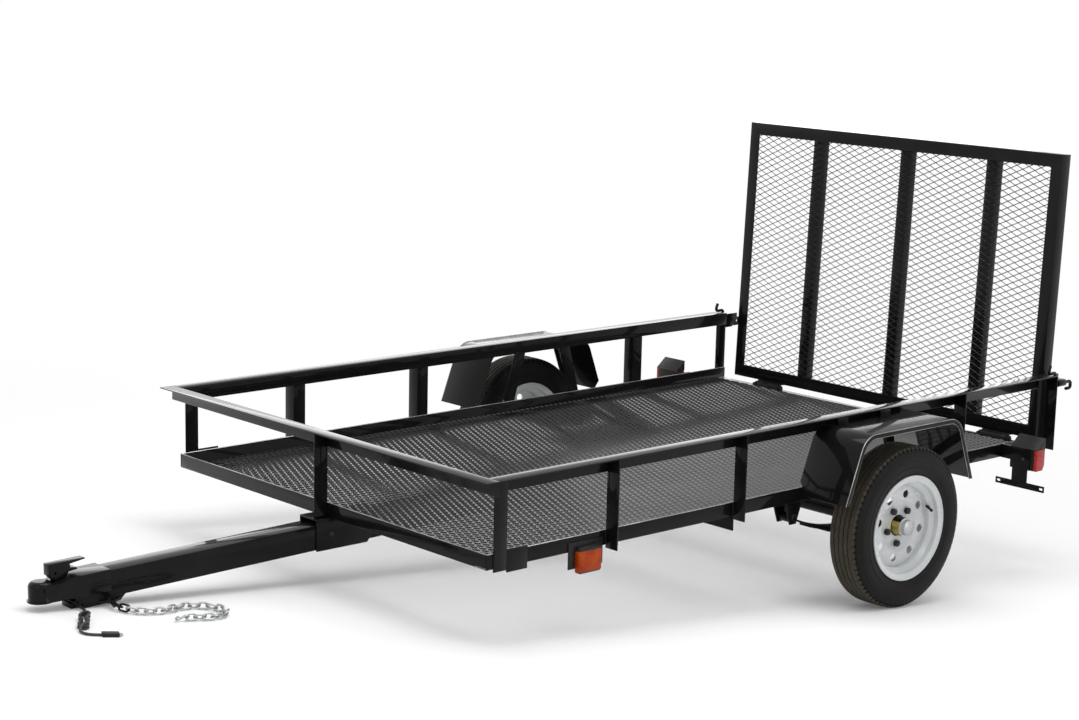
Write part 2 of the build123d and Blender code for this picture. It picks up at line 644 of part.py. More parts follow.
def leaf(radius, centre_z, share):
    """One leaf as an arc below its centre of curvature."""
    half = math.asin(share * SPRING_SPAN / 2 / spring_radius())
    outer, inner = radius + SPRING_LEAF / 2, radius - SPRING_LEAF / 2

    def at(r, turn):
        return (WHEEL_X + r * math.sin(turn), centre_z - r * math.cos(turn))

    edges = [ThreePointArc(at(outer, -half), at(outer, 0), at(outer, half)),
             Line(at(outer, half), at(inner, half)),
             ThreePointArc(at(inner, half), at(inner, 0), at(inner, -half)),
             Line(at(inner, -half), at(outer, -half))]
    return plate(make_face(edges), SPRING_Y - SPRING_WIDTH / 2,
                 SPRING_Y + SPRING_WIDTH / 2)


def spring_mid():
    """Height of the middle of the top leaf, close under the axle tube."""
    return WHEEL_Z - AXLE_RADIUS - SEAT - SPRING_LEAF / 2


def spring_radius():
    """Radius of the top leaf through both eyes."""
    sag = EYE_Z - spring_mid()
    return ((SPRING_SPAN / 2) ** 2 + sag ** 2) / (2 * sag)


def leaf_springs():
    """Three leaves under the axle, the longest rolled into an eye at each end."""
    radius = spring_radius()
    centre_z = spring_mid() + radius
    leaves = []
    for index, share in enumerate(SPRING_LEAVES):
        leaves.append(leaf(radius + index * (SPRING_LEAF + SEAT), centre_z, share))
    y0, y1 = SPRING_Y - SPRING_WIDTH / 2, SPRING_Y + SPRING_WIDTH / 2
    for side in (1, -1):
        x = WHEEL_X + side * SPRING_SPAN / 2
        leaves[0] += rod((x, y0, EYE_Z), (x, y1, EYE_Z), EYE_RADIUS)
        leaves[0] -= rod((x, y0, EYE_Z), (x, y1, EYE_Z), EYE_BORE)
    side_pair("leaf_spring", group(*leaves))


def hangers():
    """Front brackets and rear blocks under the frame, and the swinging shackles."""
    inner = SPRING_WIDTH / 2 + 2 * SEAT
    outer = inner + HANGER_WALL
    front = WHEEL_X + SPRING_SPAN / 2
    heel, toe = front - HANGER_HALF, front + HANGER_HALF
    bracket = box(heel, toe, SPRING_Y - outer, SPRING_Y + outer, -HANGER_WALL - SEAT, -SEAT)
    for side in (1, -1):
        bracket += slab(((heel, -SEAT), (toe, -SEAT), (toe, -20),
                         (front + EYE_RADIUS, EYE_Z - 18), (front - EYE_RADIUS, EYE_Z - 18),
                         (heel, -20)), SPRING_Y + side * inner, SPRING_Y + side * outer)
    bracket += rod((front, SPRING_Y - outer - 8, EYE_Z), (front, SPRING_Y + outer + 8, EYE_Z),
                   BOLT_RADIUS)
    x, z = SHACKLE_X, EYE_Z + SHACKLE_RISE
    left, right = SPRING_Y + SPRING_WIDTH / 2, SPRING_Y - SPRING_WIDTH / 2
    block = slab(((x - BLOCK_HALF, -SEAT), (x + BLOCK_HALF, -SEAT), (x + EYE_RADIUS, z - 8),
                  (x + 8, z - EYE_RADIUS), (x - 8, z - EYE_RADIUS), (x - EYE_RADIUS, z - 8)),
                 right, left)
    block -= rod((x, right, z), (x, left, z), EYE_BORE)
    PARTS["spring_hangers"] = group(bracket, block, mirrored(bracket), mirrored(block))
    ends = ((WHEEL_X - SPRING_SPAN / 2, EYE_Z), (x, z))
    circles = [(Pos(*end) * Circle(EYE_RADIUS)).edge() for end in ends]
    strap = make_hull(circles)
    shackle = plate(strap, SPRING_Y + inner, SPRING_Y + outer)
    shackle += plate(strap, SPRING_Y - inner, SPRING_Y - outer)
    for x, z in ends:
        shackle += rod((x, SPRING_Y - outer - 7, z), (x, SPRING_Y + outer + 7, z),
                       BOLT_RADIUS)
    PARTS["spring_shackles"] = group(shackle, mirrored(shackle))


def axle_clamps():
    """Tie plates under the springs, held to the axle by U-bolts."""
    length, width, thick = TIE_PLATE
    stack = len(SPRING_LEAVES) * (SPRING_LEAF + SEAT)
    top = WHEEL_Z - AXLE_RADIUS - SEAT - stack
    clamp = box(WHEEL_X - length / 2, WHEEL_X + length / 2, SPRING_Y - width / 2,
                SPRING_Y + width / 2, top - thick, top)
    bend = AXLE_RADIUS + SEAT + U_BOLT_RADIUS
    foot = top - thick - 16
    for side in (1, -1):
        y = SPRING_Y + side * (SPRING_WIDTH / 2 + SEAT + U_BOLT_RADIUS)
        path = Wire([Edge.make_line((WHEEL_X - bend, y, foot), (WHEEL_X - bend, y, WHEEL_Z)),
                     Edge.make_three_point_arc((WHEEL_X - bend, y, WHEEL_Z),
                                               (WHEEL_X, y, WHEEL_Z + bend),
                                               (WHEEL_X + bend, y, WHEEL_Z)),
                     Edge.make_line((WHEEL_X + bend, y, WHEEL_Z), (WHEEL_X + bend, y, foot))])
        clamp += bent_bar(path, U_BOLT_RADIUS)
        for x in (WHEEL_X - bend, WHEEL_X + bend):
            clamp += Pos(x, y, top - thick - 4) * extrude(
                RegularPolygon(2 * U_BOLT_RADIUS, 6), 8, both=False, dir=(0, 0, -1))
    PARTS["axle_clamps"] = group(clamp, mirrored(clamp))


# ---------------------------------------------------------------- fenders
def arch(inset, foot):
    """Face of a fender's side view, brought in by an inset and down to a foot."""
    slope = (FENDER_BOTTOM - FENDER_ROOF) / 2 / (FENDER_TOP - FENDER_FOOT)
    stretch = math.sqrt(1 + slope ** 2)
    low = FENDER_BOTTOM / 2 - inset * stretch + slope * (FENDER_FOOT - foot)
    roof = FENDER_TOP - inset
    high = low - slope * (roof - foot)
    line = FilletPolyline((FENDER_X + low, foot), (FENDER_X + high, roof),
                          (FENDER_X - high, roof), (FENDER_X - low, foot),
                          radius=FENDER_CORNER - inset)
    return make_face([*line.edges(), Line(line @ 1, line @ 0)])


def fender():
    """Plain arch of sheet with a rolled lip along its outer edge."""
    deep = FENDER_FOOT - FENDER_LIP
    sheet = plate(arch(0, FENDER_FOOT), FENDER_INNER, FENDER_OUTER)
    sheet -= plate(arch(FENDER_WALL, deep), FENDER_INNER, FENDER_OUTER)
    lip = plate(arch(0, FENDER_FOOT), FENDER_OUTER - FENDER_WALL, FENDER_OUTER)
    lip -= plate(arch(FENDER_LIP, deep), FENDER_OUTER - FENDER_WALL, FENDER_OUTER)
    sheet += lip
    reach = FENDER_BOTTOM
    corner = extrude(Plane(origin=(FENDER_X - reach, 0, 0), x_dir=(0, 1, 0),
                           z_dir=(1, 0, 0)) * make_face(Polyline(
                               (FENDER_INNER, FENDER_FOOT),
                               (FENDER_INNER + FENDER_CHAMFER, FENDER_FOOT),
                               (FENDER_INNER, FENDER_FOOT + FENDER_CHAMFER),
                               close=True)), 2 * reach)
    return sheet - corner


def fenders():
    """Fenders, each welded to two slanting flat bars on the frame and rail."""
    side_pair("fender", fender())
    half = BRACE_WIDTH / 2
    top = RAIL_TOP - RAIL_WALL - SEAT
    bars = []
    for side in (1, -1):
        foot = FENDER_X + side * BRACE_FOOT
        head = FENDER_X + side * BRACE_HEAD
        bars.append(slab(((foot - half, 0), (foot + half, 0), (head + half, top),
                          (head - half, top)), HALF + SEAT, HALF + SEAT + BRACE_WALL))
    PARTS["fender_braces"] = group(*bars, *[mirrored(bar) for bar in bars])


# ---------------------------------------------------------------- lamps
def tail_lamps():
    """Square tail lamps outside the frame: black housing, red lens behind and outside."""
    rear, front = LAMP_X
    inner, outer = LAMP_Y
    low, high = LAMP_Z
    body = slab(((rear, low), (front, low), (front, high - LAMP_SLOPE), (rear, high)),
                inner, outer)
    cap = high - LAMP_SLOPE
    split = outer - LENS_WALL
    lens = box(rear, front, split, outer, low, cap)
    lens += box(rear, rear + LENS_WALL, inner, outer, low, cap)
    body -= box(rear, front, split - SEAT, outer, low, cap + SEAT)
    body -= box(rear, rear + LENS_WALL + SEAT, inner, outer, low, cap + SEAT)
    side_pair("tail_lamp", body)
    lens -= slab(((rear, low), (rear + 9, low), (rear, low + 18)), inner, outer)
    PARTS["tail_lamp_lenses"] = group(lens, mirrored(lens))


def lamp_brackets():
    """Plates off the frame for the tail lamps; the left one carries the licence bar."""
    face = LAMP_X[1] + SEAT
    end = face + LAMP_BRACKET
    low, high = LAMP_Z[0], LAMP_Z[1] - LAMP_SLOPE
    neck = [LAMP_Y[0] + reach for reach in LICENCE_NECK]
    arm = box(face, end, HALF + SEAT, neck[1], 0, high)
    arm += box(face, end, *neck, low, high)
    arm += box(face - LAMP_TAB, end, HALF + SEAT, HALF + SEAT + LAMP_BRACKET, 0, high)
    left = arm + box(face, end, neck[0] + 9, neck[1] - 9, LICENCE_Z[0], low)
    start = HALF - LICENCE_IN
    left += box(face, end, start, start + LICENCE_WIDTH, *LICENCE_Z)
    middle = sum(LICENCE_Z) / 2
    across = Plane(origin=(face, start + LICENCE_WIDTH / 2, middle), x_dir=(0, 1, 0),
                   z_dir=(1, 0, 0))
    for side in (1, -1):
        place = Pos(side * (LICENCE_WIDTH / 2 - 1.5 * SLOT_WIDTH), 0)
        left -= extrude(across * place * SlotOverall(2 * SLOT_WIDTH, SLOT_WIDTH),
                        LAMP_BRACKET)
    PARTS["lamp_brackets"] = group(left, mirrored(arm))


def side_markers():
    """Amber marker lamps on both sides near the front."""
    rear, front = MARKER_X
    low, high = MARKER_Z
    face = HALF + SEAT + LAMP_BRACKET
    base = box(rear - 19, front + 25, HALF + SEAT, face, low + 14, high + 14)
    outline = side_plane(face + SEAT) * Pos((rear + front) / 2, (low + high) / 2)
    lens = extrude(outline * RectangleRounded(front - rear, high - low, 9), -MARKER_DEPTH)
    lens = chamfer(lens.faces().sort_by(Axis.Y)[-1].edges(), 5)
    PARTS["side_marker_bases"] = group(base, mirrored(base))
    PARTS["side_marker_lenses"] = group(lens, mirrored(lens))


# ---------------------------------------------------------------- ramp gate
GATE = Location((GATE_FACE, 0, GATE_FOOT), (0, -GATE_LEAN, 0))


def gate():
    """Welded frame of angles with the mesh behind its front legs and uprights behind."""
    half = GATE_WIDTH / 2
    sizes = (GATE_LEG, GATE_LEG, GATE_WALL)
    frame = angle_bar((0, -half, 0), (0, 1, 0), GATE_WIDTH, (0, 0, 1), (-1, 0, 0), *sizes)
    frame += angle_bar((0, -half, GATE_HEIGHT), (0, 1, 0), GATE_WIDTH, (0, 0, -1),
                       (-1, 0, 0), *sizes)
    for side in (1, -1):
        frame += angle_bar((0, side * half, 0), (0, 0, 1), GATE_HEIGHT, (0, -side, 0),
                           (-1, 0, 0), *sizes)
    PARTS["gate_frame"] = GATE * frame
    inset = GATE_WALL + SEAT
    width = GATE_WIDTH - 2 * inset
    height = GATE_HEIGHT - 2 * inset
    sheet = Rot(0, 0, 90) * Rot(90, 0, 0) * diamond_sheet(width, height, MESH_THICK)
    mesh_rear = -inset - MESH_THICK
    PARTS["gate_mesh"] = GATE * Pos(mesh_rear, 0, GATE_HEIGHT / 2) * sheet
    bars = []
    for y in GATE_UPRIGHT_YS:
        bars.append(GATE * angle_bar(
            (mesh_rear - SEAT, y + GATE_LEG / 2, inset), (0, 0, 1), height, (0, -1, 0),
            (-1, 0, 0), GATE_LEG, UPRIGHT_LEG, GATE_WALL))
    PARTS["gate_uprights"] = group(*bars)


def gate_hinges():
    """Barrels under the gate, and forked brackets with pins behind the bed."""
    half = HINGE_LENGTH / 2
    barrel = rod((GATE_FACE, HINGE_Y - half, HINGE_Z), (GATE_FACE, HINGE_Y + half, HINGE_Z),
                 HINGE_RADIUS)
    strap = box(-GATE_LEG, SEAT, -half, half, HINGE_RADIUS - GATE_FOOT - HINGE_WALL, -SEAT)
    barrel += Pos(0, HINGE_Y, 0) * GATE * strap
    bore = HINGE_PIN + HINGE_PLAY
    barrel -= rod((GATE_FACE, HINGE_Y - half, HINGE_Z), (GATE_FACE, HINGE_Y + half, HINGE_Z),
                  bore)
    PARTS["gate_hinge_barrels"] = group(barrel, mirrored(barrel))
    rear = -BED_LENGTH - SEAT
    reach = half + HINGE_GAP + HINGE_EAR
    fork = box(rear - HINGE_WALL, rear, HINGE_Y - reach, HINGE_Y + reach,
               -HINGE_PIN - 3 * HINGE_WALL, FRAME_WALL)
    for side in (1, -1):
        ear_y = HINGE_Y + side * (half + HINGE_GAP)
        eye = side_plane(ear_y) * Pos(GATE_FACE, HINGE_Z) * Circle(HINGE_PIN + HINGE_WALL)
        fork += extrude(eye, ear_y - (ear_y + side * HINGE_EAR))
        fork += box(GATE_FACE, rear, ear_y, ear_y + side * HINGE_EAR,
                    -HINGE_PIN - HINGE_WALL, HINGE_PIN)
    fork += rod((GATE_FACE, HINGE_Y - reach - 4, HINGE_Z),
                (GATE_FACE, HINGE_Y + reach + 4, HINGE_Z), HINGE_PIN)
    PARTS["hinge_brackets"] = group(fork, mirrored(fork))


def gate_latches():
    """Bolts bent from one bar each, in straps at the rail ends, drawn clear of the gate."""
    bore = BOLT_ROD + SEAT
    outside = bore + STRAP_WALL
    root = HALF + SEAT
    y = HALF + RAIL_LEG - BOLT_OUT - outside
    middle = RAIL_TOP - BOLT_DROP
    high, low = middle + BOLT_PLATE[0], middle - BOLT_PLATE[1]
    front, rear = (-BED_LENGTH - reach for reach in BOLT_STRAP)
    face = -BED_LENGTH - SEAT
    bracket = slab(((face, high), (rear, high), (rear, middle), (rear + BOLT_PLATE[1], low),
                    (face, low)), root, root + POST_WALL)
    bracket += box(face - POST_WALL, face, root, y, low, high)
    across = Plane(origin=(rear, 0, 0), x_dir=(0, 1, 0), z_dir=(1, 0, 0))
    strap, hollow = (Pos((root + y) / 2, middle) * Rectangle(y - root, 2 * radius)
                     + Pos(y, middle) * Circle(radius) for radius in (outside, bore))
    bracket += extrude(across * (strap - hollow), front - rear)
    foot = RAIL_TOP + SEAT + BOLT_ROD
    handle = HANDLE_AHEAD - BED_LENGTH
    behind = face - POST_WALL - SEAT - BOLT_ROD
    tip, end = -BED_LENGTH - BOLT_REAR + BOLT_ROD, middle - BOLT_HOOK[0]
    bolt = bent_bar(FilletPolyline(
        (handle - HANDLE_LEAN, y, RAIL_TOP + HANDLE_RISE), (handle, y, foot),
        (behind, y, foot), (behind, y, middle), (tip, y, middle), (tip, y, end),
        (tip + BOLT_HOOK[1], y, end), radius=1.5 * BOLT_ROD), BOLT_ROD)
    PARTS["gate_latches"] = group(bracket, bolt, mirrored(bracket), mirrored(bolt))


# ---------------------------------------------------------------- parked attitude
def contact():
    """Lowest point of the tongue, which meets the floor when the nose is put down."""
    foot = TONGUE * Location((CHAIN_PLATE_FRONT, 0, -TONGUE_SIZE - CHAIN_PLATE_DEPTH))
    return foot.position


def park_angle():
    """Degrees nose down with the tyres and the chain plate on the floor."""
    point = contact()
    forward, up = point.X - WHEEL_X, point.Z - WHEEL_Z
    reach = math.hypot(forward, up)
    return math.degrees(math.atan2(up, forward) + math.asin(TYRE_RADIUS / reach))


PARK = Pos(0, 0, TYRE_RADIUS) * Rot(0, park_angle(), 0) * Pos(-WHEEL_X, 0, -WHEEL_Z)


# ---------------------------------------------------------------- chains and wiring
CHAIN_PATHS = {             # forward and outward from the loop, along the floor
    "left": ((0, 0), (4, 40), (-30, 92), (-104, 108), (-180, 92), (-240, 118),
             (-252, 184), (-192, 216), (-120, 200), (-60, 210)),
    "right": ((0, 0), (2, 40), (-26, 88), (-92, 112), (-160, 96), (-222, 116),
              (-240, 178), (-184, 206), (-116, 188), (-52, 200)),
}


def link(length, width, wire):
    """Closed chain link lying flat, long way along x."""
    def ring(half_x, half_y):
        cut = half_y * 0.58
        return Polyline((half_x, -half_y + cut), (half_x, half_y - cut),
                        (half_x - cut, half_y), (-half_x + cut, half_y),
                        (-half_x, half_y - cut), (-half_x, -half_y + cut),
                        (-half_x + cut, -half_y), (half_x - cut, -half_y), close=True)

    face = make_face(ring(length / 2, width / 2))
    face -= make_face(ring(length / 2 - wire, width / 2 - wire))
    return Pos(0, 0, -wire / 2) * extrude(face, wire, dir=(0, 0, 1))


def s_hook():
    """S-hook lying flat: an eye about the origin and an open hook ahead of it."""
    step = HOOK_TURN / HOOK_FACETS
    eye = [(0, HOOK_RADIUS, step * k - 90 - HOOK_TURN) for k in range(HOOK_FACETS + 1)]
    bend = [(HOOK_SHANK, -HOOK_RADIUS, 90 - step * k) for k in range(HOOK_FACETS + 1)]
    spine = [Vector(x, y - HOOK_RADIUS) + Vector(HOOK_RADIUS, 0).rotate(Axis.Z, angle)
             for x, y, angle in eye + bend]
    runs = [(b - a).normalized() for a, b in zip(spine, spine[1:])]
    sides = []
    for point, before, after in zip(spine, runs[:1] + runs, runs + runs[-1:]):
        mitre = (before + after).normalized()
        out = Vector(-mitre.Y, mitre.X) * (HOOK_WIRE / 2 / mitre.dot(after))
        sides.append((point + out, point - out))
    outline = [left for left, right in sides] + [right for left, right in reversed(sides)]
    face = make_face(Polyline(*outline, close=True))
    slope = math.degrees(math.atan2(2 * HOOK_RADIUS, HOOK_SHANK))
    return Pos(0, 0, -HOOK_WIRE / 2) * extrude(Rot(0, 0, slope) * face, HOOK_WIRE,
                                               dir=(0, 0, 1))


def chain(name, side):
    """Safety chain from its loop down on to the floor, ending in an S-hook."""
    start = PARK * TONGUE * Location((LOOP_X, side * (LOOP_REACH - LOOP_RADIUS),
                                      -TONGUE_SIZE - CHAIN_PLATE_DEPTH / 2))
    start = start.position
    rest = math.sqrt(0.5) * (LINK_WIDTH + LINK_WIRE) / 2 + 2 * SEAT
    points = [Vector(start.X + x, start.Y + side * y, rest) for x, y in CHAIN_PATHS[name]]
    points[0] = start
    points[1] = Vector(points[1].X, points[1].Y, (start.Z + rest) / 2)
    route = Spline(*points)
    pitch = LINK_LENGTH - 2 * LINK_WIRE - LINK_SLACK
    first = LINK_LENGTH / 2 - LINK_WIRE - LOOP_RADIUS - LINK_SLACK
    hook = math.hypot(HOOK_SHANK, 2 * HOOK_RADIUS)
    count = int((route.length - first - hook) / pitch)
    last = first + (count - 1) * pitch + (LINK_LENGTH - LINK_WIRE) / 2
    shape = link(LINK_LENGTH, LINK_WIDTH, LINK_WIRE)
    rows = [(first + k * pitch, pitch / 2, pitch / 2, shape) for k in range(count)]
    rows.append((last, 0, hook, s_hook()))
    solids = []
    for index, (place, back, ahead, piece) in enumerate(rows):
        before, middle, after = (
            route.position_at(max(distance, 0), position_mode=PositionMode.LENGTH)
            for distance in (place - back, place, place + ahead))
        forward = (after - before).normalized()
        across = forward.cross(Vector(0, 0, 1)).normalized()
        turn = 90 * (index + 1) - 45 * min(1.0, index / 3)
        plane = Plane(origin=middle, x_dir=forward, z_dir=across.cross(forward))
        solids.append(plane.location * Rot(turn, 0, 0) * piece)
    return solids


def chains():
    """A safety chain on each side."""
    for name, side in (("left", 1), ("right", -1)):
        FLOOR_PARTS[f"safety_chain_{name}"] = group(*chain(name, side))


def cord(name, points):
    """Free cord: straight runs joined by arcs as large as the runs allow."""
    points = [Vector(*point) for point in points]
    runs = [(b - a) for a, b in zip(points, points[1:])]
    radii = []
    for before, after in zip(runs, runs[1:]):
        half_turn = math.radians(before.get_angle(after)) / 2
        radii.append(0.45 * min(before.length, after.length) / math.tan(half_turn))
    path = FilletPolyline(*points, radius=radii)
    tube = bent_rod(path, CORD_RADIUS)
    share = tube.volume / (math.pi * CORD_RADIUS ** 2 * path.length)
    print(name, "radii", [round(radius, 1) for radius in radii],
          "length", round(path.length, 1), "volume share", round(share, 4))
    FLOOR_PARTS[name] = tube


LEAD_ROUTE = ((0, 0), (-3, 26), (4, 50), (20, 70), (34, 92))    # from the grommet
TAIL_ROUTE = ((0.3, -6), (24, -7), (44, 4), (52, 26), (48, 50))   # from the hank's far end


def wiring():
    """Lighting lead out of the coupler's block, tied in a hank, with its flat plug."""
    grommet_x = (CHAIN_PLATE_FRONT + CHAIN_BLOCK_FRONT) / 2
    face = CHAIN_PLATE_WIDTH / 2 - 5
    z = -TONGUE_SIZE - SEAT - CHAIN_BLOCK_DEPTH / 2
    PARTS["wiring_grommet"] = TONGUE * rod((grommet_x, face + SEAT, z),
                                           (grommet_x, face + 6, z), 1.6 * CORD_RADIUS)
    start = (PARK * TONGUE * Location((grommet_x, face + 6 + 2 * SEAT, z))).position
    low = CORD_RADIUS + SEAT
    heights = (start.Z, (start.Z + low) / 2, low, low, low)
    lead = [(start.X + x, start.Y + y, height)
            for (x, y), height in zip(LEAD_ROUTE, heights)]
    cord("wiring_lead", lead)
    end, before = Vector(*lead[-1]), Vector(*lead[-2])
    along = (end - before).normalized()
    hank_frame = Plane(origin=(end.X, end.Y, 0), x_dir=along, z_dir=(0, 0, 1)).location
    hank = Pos(HANK_LENGTH / 2, 0, SEAT) * extrude(
        RectangleRounded(HANK_LENGTH, HANK_WIDTH, HANK_WIDTH / 3), HANK_HEIGHT)
    top = hank.faces().sort_by(Axis.Z)[-1]
    FLOOR_PARTS["wiring_hank"] = hank_frame * chamfer(top.edges(), HANK_HEIGHT / 3)
    tail = [(hank_frame * Location((HANK_LENGTH + x, y, low))).position
            for x, y in TAIL_ROUTE]
    cord("wiring_tail", tail)
    along = (tail[-1] - tail[-2]).normalized()
    plug_frame = Plane(origin=(tail[-1].X, tail[-1].Y, 0), x_dir=along, z_dir=(0, 0, 1))
    length, width, height = PLUG_SIZE
    plug = box(0, length, -width / 2, width / 2, SEAT, SEAT + height)
    plug = fillet(plug.edges().filter_by(Axis.Z), height / 4)
    FLOOR_PARTS["wiring_plug"] = plug_frame.location * plug


# ---------------------------------------------------------------- park and export
def main():
    """Build every piece, park the trailer and write one file for each node."""
    for step in (side_frames, front_frame, cross_members, floor_mesh, top_rails, posts,
                 tongue, tongue_saddle, coupler, coupler_latch, chain_plate, wheels,
                 axle, leaf_springs, hangers, axle_clamps, fenders, tail_lamps,
                 lamp_brackets, side_markers, gate, gate_hinges, gate_latches, chains,
                 wiring):
        step()
    pieces = {name: PARK * shape for name, shape in PARTS.items()}
    pieces.update(FLOOR_PARTS)
    bounds = Compound([solid for shape in pieces.values() for solid in shape.solids()])
    bounds = bounds.bounding_box()
    centre = Pos(-(bounds.min.X + bounds.max.X) / 2, 0, 0)
    print("parked", round(park_angle(), 4), "degrees; shifted", round(centre.position.X, 3))
    print("low", round(bounds.min.Z, 3), "size", bounds.size)
    os.makedirs("parts", exist_ok=True)
    for name, shape in pieces.items():
        export_step(centre * shape, f"parts/{name}.step")


main()
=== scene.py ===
"""Finish of a single-axle utility trailer: paint, mesh, tread, chains, lamps and wiring.

Each sub-assembly is a class that holds its sizes, builds its meshes and dresses them.
Lengths are metres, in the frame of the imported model, and angles are degrees.
"""

import logging
import math
from dataclasses import dataclass
from enum import Enum
from functools import cache
from typing import Callable

import bpy
import numpy as np
from mathutils import Matrix, Vector


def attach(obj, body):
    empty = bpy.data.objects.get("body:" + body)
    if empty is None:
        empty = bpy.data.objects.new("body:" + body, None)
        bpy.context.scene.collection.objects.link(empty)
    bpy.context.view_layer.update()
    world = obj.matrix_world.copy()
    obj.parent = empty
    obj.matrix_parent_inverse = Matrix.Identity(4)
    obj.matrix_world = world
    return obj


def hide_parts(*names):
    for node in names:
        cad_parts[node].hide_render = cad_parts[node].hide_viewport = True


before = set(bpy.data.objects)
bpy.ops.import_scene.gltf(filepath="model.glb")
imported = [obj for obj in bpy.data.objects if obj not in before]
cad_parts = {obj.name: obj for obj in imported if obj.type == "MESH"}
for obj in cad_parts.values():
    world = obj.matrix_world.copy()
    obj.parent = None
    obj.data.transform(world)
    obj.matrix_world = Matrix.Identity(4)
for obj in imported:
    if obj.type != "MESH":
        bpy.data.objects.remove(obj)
LOG = logging.getLogger("trailer")
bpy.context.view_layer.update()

Piece = bpy.types.Object
Face = bpy.types.MeshPolygon
Socket = bpy.types.NodeSocket
Tree = bpy.types.NodeTree
Pair = tuple[float, float]
Point = Colour = tuple[float, float, float]

# the level chassis is turned nose down about its axle and moved along the floor
PARK_TURN = 5.2816
PARK_SHIFT = -0.759328
AXLE_X, AXLE_Z = -1.580, -0.091
HALF_TRACK = 0.905
TYRE_RADIUS = 0.260
# the gate leans at the rear of the bed, and the tongue drops towards the coupler
GATE_X, GATE_Z, GATE_LEAN = -2.563, 0.018, 2.4
TONGUE_Z, TONGUE_DROP = -0.017, 1.15


class Body(Enum):
    """Rigid bodies of the trailer."""

    CHASSIS = "chassis"
    WHEEL_LEFT = "wheel_left"
    WHEEL_RIGHT = "wheel_right"
    GATE = "gate"


class Slot(Enum):
    """Finishes that the record names."""

    BLACK_PAINT = "black_paint"
    WHITE_PAINT = "white_paint"
    TYRE = "tyre"
    BARE_STEEL = "bare_steel"
    ZINC = "zinc"
    RED_LENS = "red_lens"
    AMBER_LENS = "amber_lens"
    BLACK_PLASTIC = "black_plastic"
    CABLE = "cable"


class Part(Enum):
    """What edit mode selects."""

    POINTS = "VERT"
    FACES = "FACE"


@dataclass(frozen=True)
class Side:
    """One side of the trailer: its name, its wheel's body and the sign of y there."""

    name: str
    wheel: Body
    sign: float


SIDES = (Side("left", Body.WHEEL_LEFT, 1.0), Side("right", Body.WHEEL_RIGHT, -1.0))


# ---- places
def shift(x: float, y: float, z: float) -> Matrix:
    """Returns the matrix of a move."""
    return Matrix.Translation((x, y, z))


def turn(degrees: float, axis: str) -> Matrix:
    """Returns the matrix of a turn about an axis."""
    return Matrix.Rotation(math.radians(degrees), 4, axis)


def stretch(x: float, y: float, z: float) -> Matrix:
    """Returns the matrix of a stretch along the axes."""
    return Matrix.Diagonal((x, y, z, 1.0))


def aimed(way: Vector, axis: str) -> Matrix:
    """Returns the matrix that turns an axis towards a way."""
    return way.to_track_quat(axis, "Y").to_matrix().to_4x4()


def chassis_place() -> Matrix:
    """Returns the matrix that parks a point of the level chassis."""
    return (shift(PARK_SHIFT, 0, TYRE_RADIUS) @ turn(PARK_TURN, "Y")
            @ shift(-AXLE_X, 0, -AXLE_Z))


def gate_place() -> Matrix:
    """Returns the matrix of the gate's own frame, from its foot."""
    return chassis_place() @ (shift(GATE_X, 0, GATE_Z) @ turn(-GATE_LEAN, "Y"))


def tongue_place() -> Matrix:
    """Returns the matrix of the tongue's own frame, whose top is at zero."""
    return chassis_place() @ (shift(0, 0, TONGUE_Z) @ turn(TONGUE_DROP, "Y"))


def axle_point(side: Side) -> Vector:
    """Returns the point on the axle in the middle of a wheel."""
    axle = chassis_place() @ Vector((AXLE_X, 0, AXLE_Z))
    return Vector((axle.x, side.sign * HALF_TRACK, axle.z))


